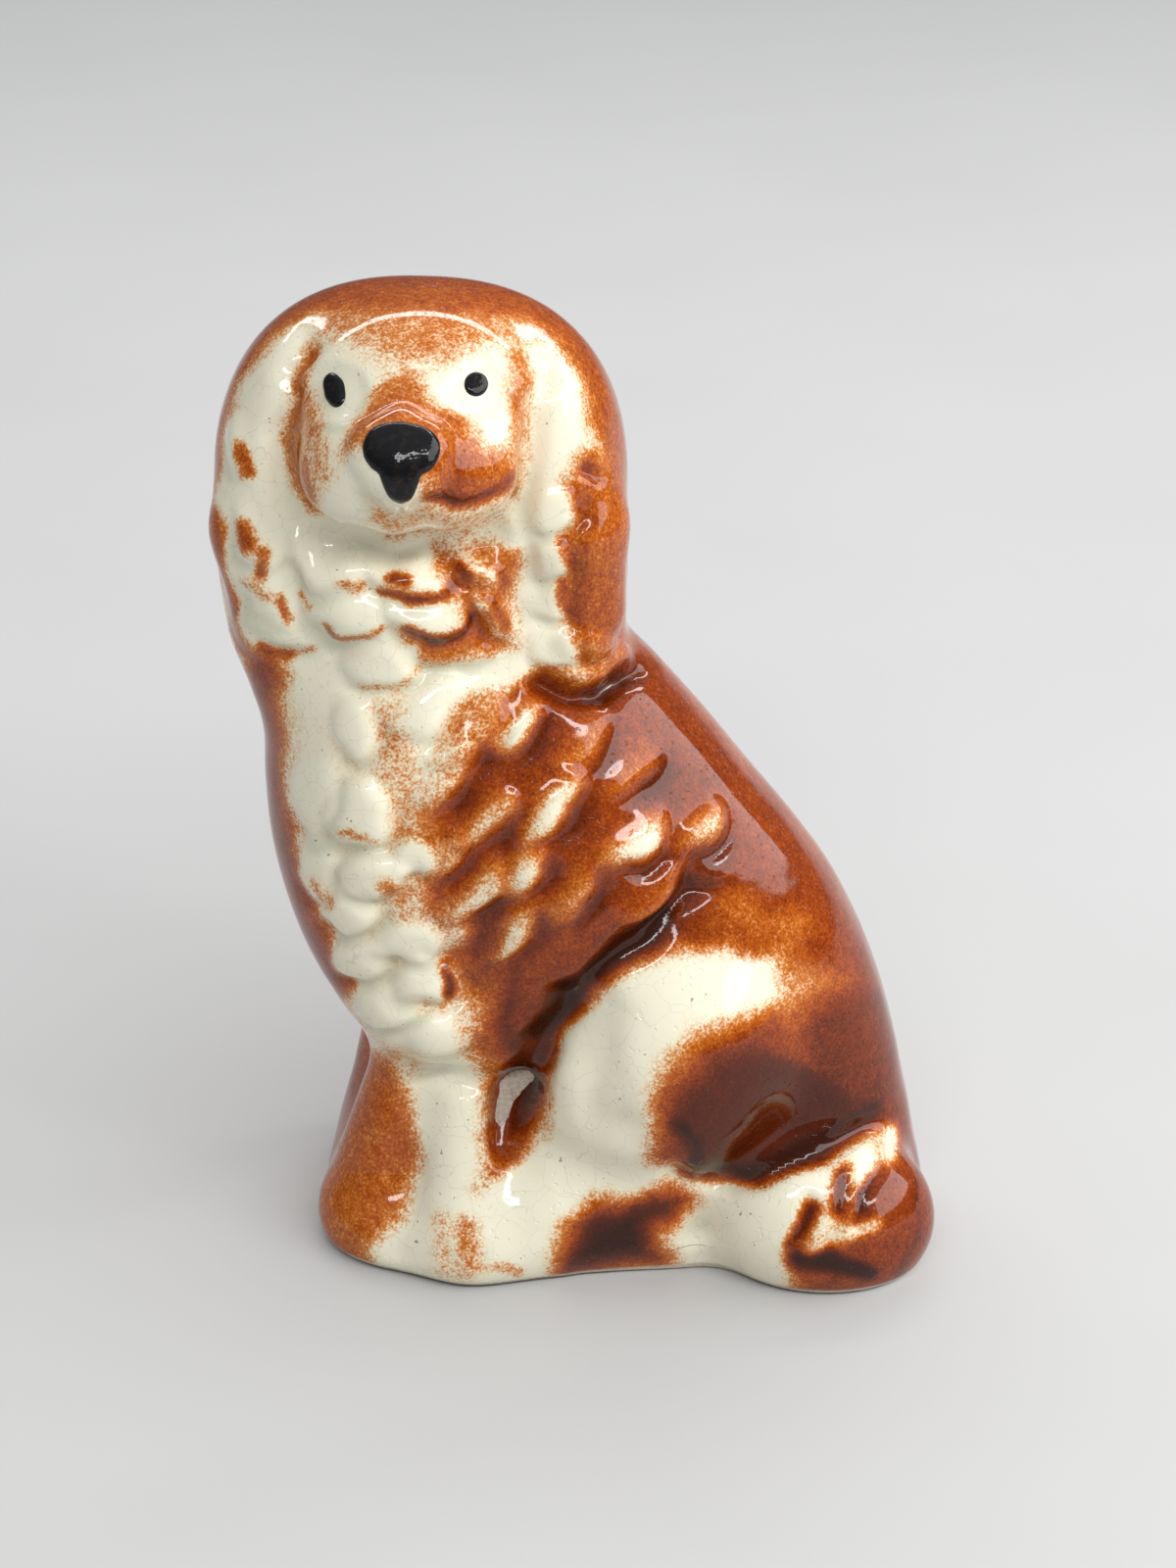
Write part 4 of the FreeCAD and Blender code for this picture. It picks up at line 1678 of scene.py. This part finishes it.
@dataclass(frozen=True)
class GlazedSlipware:
    """Clear lead glaze over cream clay, with iron slip sponged on under it, and painted shade in its grooves.
    """

    name: str = "glazed_slipware"
    cream: Triple = (0.80, 0.765, 0.60)
    # cream where glaze pools in the grooves, also used as painted shade there
    recess_and_shade: Triple = (0.52, 0.53, 0.39)
    fleck: Triple = (0.20, 0.12, 0.06)
    hairline: Triple = (0.40, 0.36, 0.27)
    # slip from thin to thick; the darkest colours also serve as painted shade in grooves and under the haunch
    iron_and_shade: tuple[tuple[float, Triple], ...] = (
        (0.0, (0.76, 0.66, 0.46)),
        (0.12, (0.74, 0.46, 0.20)),
        (0.28, (0.58, 0.20, 0.035)),
        (0.45, (0.40, 0.085, 0.006)),
        (0.62, (0.24, 0.036, 0.003)),
        (0.80, (0.09, 0.013, 0.002)),
        (1.0, (0.03, 0.006, 0.002)),
    )
    roughness: float = 0.07
    bare_roughness: float = 0.85
    fine_share: float = 1.25  # how strongly fine and coarse noise break up the slip
    coarse_share: float = 0.6
    thickness: float = 0.58  # depth of colour for one full coat
    unevenness: float = 0.25
    ripple: float = 0.045
    pit: float = 0.03
    crack_cells: float = 0.42  # crazing cells per millimetre
    crack_half: float = 0.016  # as a share of a cell
    crack_strength: float = 0.28

    def material(self) -> bpy.types.Material:
        """Build the node tree.

        The amount of iron is the mesh's own value, broken up where it is part-way by fine and coarse noise,
        so that its edges look sponged. The grooves darken the cream and the slip, partly as pooled glaze and
        partly as painted shade. Crazing is the edges of distorted cells; the bare foot has no glaze.

        Returns:
            The material.
        """
        tree = Tree(self.name)
        amount, pool_and_shade, bare = (tree.attribute(label) for label in ("iron_and_shade", "pool_and_shade", "bare"))
        fine, coarse, broad = tree.noise(4.2, 3.0, 0.62), tree.noise(1.2, 3.0, 0.55), tree.noise(0.11, 2.0)
        speckle = tree.math("ADD", tree.about_half(fine, self.fine_share),
                            tree.about_half(coarse, self.coarse_share))
        rise, fall = tree.span(amount, 0.0, 0.3), tree.span(amount, 0.8, 1.5, 1.0, 0.45)
        broken = tree.math("ADD", amount, tree.math("MULTIPLY", speckle, tree.math("MULTIPLY", rise, fall)))
        coats_and_shade = tree.math("MULTIPLY", broken, self.thickness)
        depth = tree.math("ADD", coats_and_shade, tree.about_half(broad, self.unevenness))
        colour = tree.ramp(depth, self.iron_and_shade)
        cover = tree.span(broken, 0.0, 0.62)
        # the cream darkens in the grooves: pooled glaze, and painted shade
        white = tree.mix(tree.span(pool_and_shade, 0.1, 0.9, 0.0, 0.55), self.cream, self.recess_and_shade)
        specks = tree.span(tree.noise(1.9, 1.0, 0.5), 0.745, 0.79, 0.0, 0.7)
        white = tree.mix(specks, white, self.fleck)
        white = tree.mix(self.crazing(tree), white, self.hairline)
        glazed = tree.mix(cover, white, colour)
        grain = tree.noise(3.5, 3.0, 0.6)
        body = tree.mix(tree.span(grain, 0.35, 0.7), PALE_CLAY, DARK_CLAY)
        ripple = tree.bump(tree.noise(0.33, 1.5, 0.4), self.ripple)
        pits = tree.bump(tree.span(tree.noise(2.2, 0.0), 0.73, 0.80), -self.pit, ripple)
        return tree.finish(
            Base_Color=tree.mix(bare, glazed, body),
            Roughness=tree.span(bare, 0.0, 1.0, self.roughness, self.bare_roughness),
            IOR=1.4,
            Normal=pits,
        )

    def crazing(self, tree: Tree) -> bpy.types.NodeSocket:
        """Share of hairline colour: the edges of cells about 2.4 mm across, bent by noise.

        Args:
            tree: the node tree to add to.

        Returns:
            Socket of the share.
        """
        bend = tree.nodes.new("ShaderNodeVectorMath")
        bend.operation = "ADD"
        tree.links.new(tree.place, bend.inputs[0])
        wander = tree.nodes.new("ShaderNodeTexNoise")
        wander.inputs["Scale"].default_value = 0.5
        tree.links.new(tree.place, wander.inputs["Vector"])
        tree.links.new(wander.outputs["Color"], bend.inputs[1])
        cells = tree.nodes.new("ShaderNodeTexVoronoi")
        cells.feature = "DISTANCE_TO_EDGE"
        cells.inputs["Scale"].default_value = self.crack_cells
        tree.links.new(bend.outputs[0], cells.inputs["Vector"])
        return tree.span(cells.outputs["Distance"], self.crack_half, 0.0, 0.0, self.crack_strength)


@dataclass(frozen=True)
class BlackEnamel:
    """Thick black overglaze enamel."""

    name: str = "black_enamel"
    roughness: float = 0.09

    def material(self) -> bpy.types.Material:
        """Near-black with brown in its thin places, and a slightly uneven gloss.

        Returns:
            The material.
        """
        tree = Tree(self.name)
        colour = tree.mix(tree.span(tree.noise(1.6), 0.45, 0.8), (0.006, 0.006, 0.007), (0.022, 0.016, 0.013))
        return tree.finish(
            Base_Color=colour,
            Roughness=self.roughness,
            IOR=1.33,
            Normal=tree.bump(tree.noise(1.1, 2.0), 0.08),
        )


@dataclass(frozen=True)
class FiredClay:
    """Bare buff clay, a little gritty."""

    name: str = "luting_clay"

    def material(self) -> bpy.types.Material:
        """Matt buff with fine grit.

        Returns:
            The material.
        """
        tree = Tree(self.name)
        grit = tree.noise(4.0, 4.0, 0.6)
        return tree.finish(
            Base_Color=tree.ramp(grit, ((0.3, DARK_CLAY), (0.7, PALE_CLAY))),
            Roughness=0.85,
            Normal=tree.bump(grit, 0.06),
        )


@dataclass(frozen=True)
class PaleFloor:
    """Plain pale studio floor."""

    name: str = "pale_floor"
    colour: Triple = (0.52, 0.52, 0.515)

    def material(self) -> bpy.types.Material:
        """Matt, with a very faint mottle.

        Returns:
            The material.
        """
        tree = Tree(self.name)
        shade = tree.noise(0.02, 2.0)
        return tree.finish(
            Base_Color=tree.ramp(shade, ((0.3, self.colour), (0.7, tuple(0.97 * c for c in self.colour)))),
            Roughness=0.8,
        )


# ---------------------------------------------------------------- studio


@dataclass(frozen=True)
class SoftLight:
    """Rectangular soft light. It hangs the stated way from its target, and looks back at it."""

    name: str
    target: Triple
    azimuth: float
    elevation: float
    distance: float
    size: Point
    power: float

    def hang(self) -> None:
        """Make the lamp. Azimuth 0 is in front, 90 at the tail's side; lengths are millimetres."""
        lamp = bpy.data.lights.new(self.name, "AREA")
        lamp.shape = "RECTANGLE"
        lamp.size, lamp.size_y = self.size[0] * MM, self.size[1] * MM
        lamp.energy = self.power
        made = bpy.data.objects.new(self.name, lamp)
        a, e = math.radians(self.azimuth), math.radians(self.elevation)
        back = Vector((math.sin(a) * math.cos(e), -math.cos(a) * math.cos(e), math.sin(e)))
        made.location = (Vector(self.target) + back * self.distance) * MM
        made.rotation_mode = "QUATERNION"
        made.rotation_quaternion = back.to_track_quat("Z", "Y")
        bpy.context.scene.collection.objects.link(made)


@dataclass
class Studio:
    """Floor, lights, world and camera."""

    lights: tuple[SoftLight, ...] = (
        SoftLight("window_panel", (0, 0, 20), 84, 31, 700, (830, 430), 4.6),
        SoftLight("top_strip", (-18, 0, 84), 180, 42, 420, (700, 50), 1.1),
        SoftLight("front_strip", (0, 0, 40), 14, 46, 560, (620, 60), 2.0),
    )
    horizon: float = 0.16
    zenith: float = 0.62
    dusk: Point = (0.25, 0.95)  # share of the way up at which the sky begins and stops brightening
    backdrop: float = 0.23
    camera_place: Triple = (-4.065, -297.163, 192.752)
    pitch: float = 27.15
    roll: float = 1.52
    lens: float = 91.3
    floor_half: float = 1.5  # metres

    def build(self) -> None:
        """Set everything up round the object."""
        half = self.floor_half
        mesh = bpy.data.meshes.new("floor")
        around = [(-half, -half, 0), (half, -half, 0), (half, half, 0), (-half, half, 0)]
        mesh.from_pydata(around, [], [(0, 1, 2, 3)])
        floor = bpy.data.objects.new("floor", mesh)
        bpy.context.scene.collection.objects.link(floor)
        mesh.materials.append(PaleFloor().material())
        for light in self.lights:
            light.hang()
        self.dome()
        self.aim()

    def dome(self) -> None:
        """Soft light from above: dim at the horizon, bright overhead, and pale where the camera sees it."""
        world = bpy.data.worlds.new("studio")
        world.use_nodes = True
        nodes, links = world.node_tree.nodes, world.node_tree.links
        sky = nodes["Background"]
        place, parts = nodes.new("ShaderNodeTexCoord"), nodes.new("ShaderNodeSeparateXYZ")
        links.new(place.outputs["Generated"], parts.inputs[0])
        climb = nodes.new("ShaderNodeMapRange")
        climb.interpolation_type = "SMOOTHSTEP"
        for index, level in enumerate((*self.dusk, self.horizon, self.zenith), start=1):
            climb.inputs[index].default_value = level
        links.new(parts.outputs["Z"], climb.inputs[0])
        seen, pick = nodes.new("ShaderNodeLightPath"), nodes.new("ShaderNodeMix")
        links.new(seen.outputs["Is Camera Ray"], pick.inputs[0])
        links.new(climb.outputs[0], pick.inputs[2])
        pick.inputs[3].default_value = self.backdrop
        links.new(pick.outputs[0], sky.inputs["Strength"])
        sky.inputs["Color"].default_value = (0.96, 0.98, 1.0, 1.0)
        bpy.context.scene.world = world
        bpy.context.scene.view_settings.view_transform = "Standard"

    def aim(self) -> None:
        """Place the camera: pitched down from +Y, then rolled about its own line of sight."""
        camera = bpy.data.cameras.new("camera")
        camera.lens = self.lens
        camera.sensor_width = 36.0
        camera.clip_start, camera.clip_end = 0.01, 10.0
        made = bpy.data.objects.new("camera", camera)
        made.location = Vector(self.camera_place) * MM
        tilt = Matrix.Rotation(math.radians(90 - self.pitch), 4, "X")
        made.rotation_euler = (tilt @ Matrix.Rotation(math.radians(self.roll), 4, "Z")).to_euler()
        bpy.context.scene.collection.objects.link(made)
        bpy.context.scene.camera = made


# ---------------------------------------------------------------- assembly


@dataclass
class Spaniel:
    """The whole figure."""

    front: MouldedShell = field(
        default_factory=lambda: MouldedShell("front_moulding", Side.FRONT, FRONT_COLUMNS))
    back: MouldedShell = field(
        default_factory=lambda: MouldedShell("back_moulding", Side.BACK, BACK_COLUMNS))
    slab: BaseSlab = field(default_factory=BaseSlab)
    luting: LutingLayers = field(default_factory=LutingLayers)
    pads: tuple[EnamelPad, ...] = (
        EnamelPad("left_eye", (-24.7, 66.0), (0, 60, 105, 180, 240, 285), (0.95, 1.15, 1.5, 0.95, 1.15, 1.5)),
        EnamelPad("right_eye", (-13.3, 66.7), (0, 90, 180, 270), (1.0, 1.05, 1.0, 1.05)),
        EnamelPad("nose", (-18.8, 60.5), (0, 20, 40, 65, 90, 115, 140, 160, 180, 205, 224, 242, 256, 270, 284,
                                          298, 316, 335), (2.75, 2.85, 2.6, 2.2, 2.15, 2.3, 2.7, 2.8, 2.7,
                                                           2.3, 2.05, 2.5, 3.1, 3.3, 3.1, 2.5, 2.05, 2.4),
                  proud=0.35),
    )

    def build(self, sculpt: Sculpt) -> None:
        """Build every piece, give it its finish, and report it.

        Args:
            sculpt: the clay form.
        """
        glaze, clay, enamel = GlazedSlipware().material(), FiredClay().material(), BlackEnamel().material()
        made = [(mould.dress(sculpt), glaze) for mould in (self.front, self.back, self.slab)]
        made += [(layer(sculpt), clay) for layer in (self.luting.seam, self.luting.foot)]
        made += [(pad.dress(sculpt), enamel) for pad in self.pads]
        for piece, finish in made:
            piece.data.materials.append(finish)
            log.info("%s: %d faces, %s", piece.name, len(piece.data.polygons), finish.name)


def main() -> None:
    """Build the figure, then the studio."""
    logging.basicConfig(level=logging.INFO, format="%(message)s")
    Spaniel().build(Sculpt())
    Studio().build()


if __name__ == "__main__":
    main()
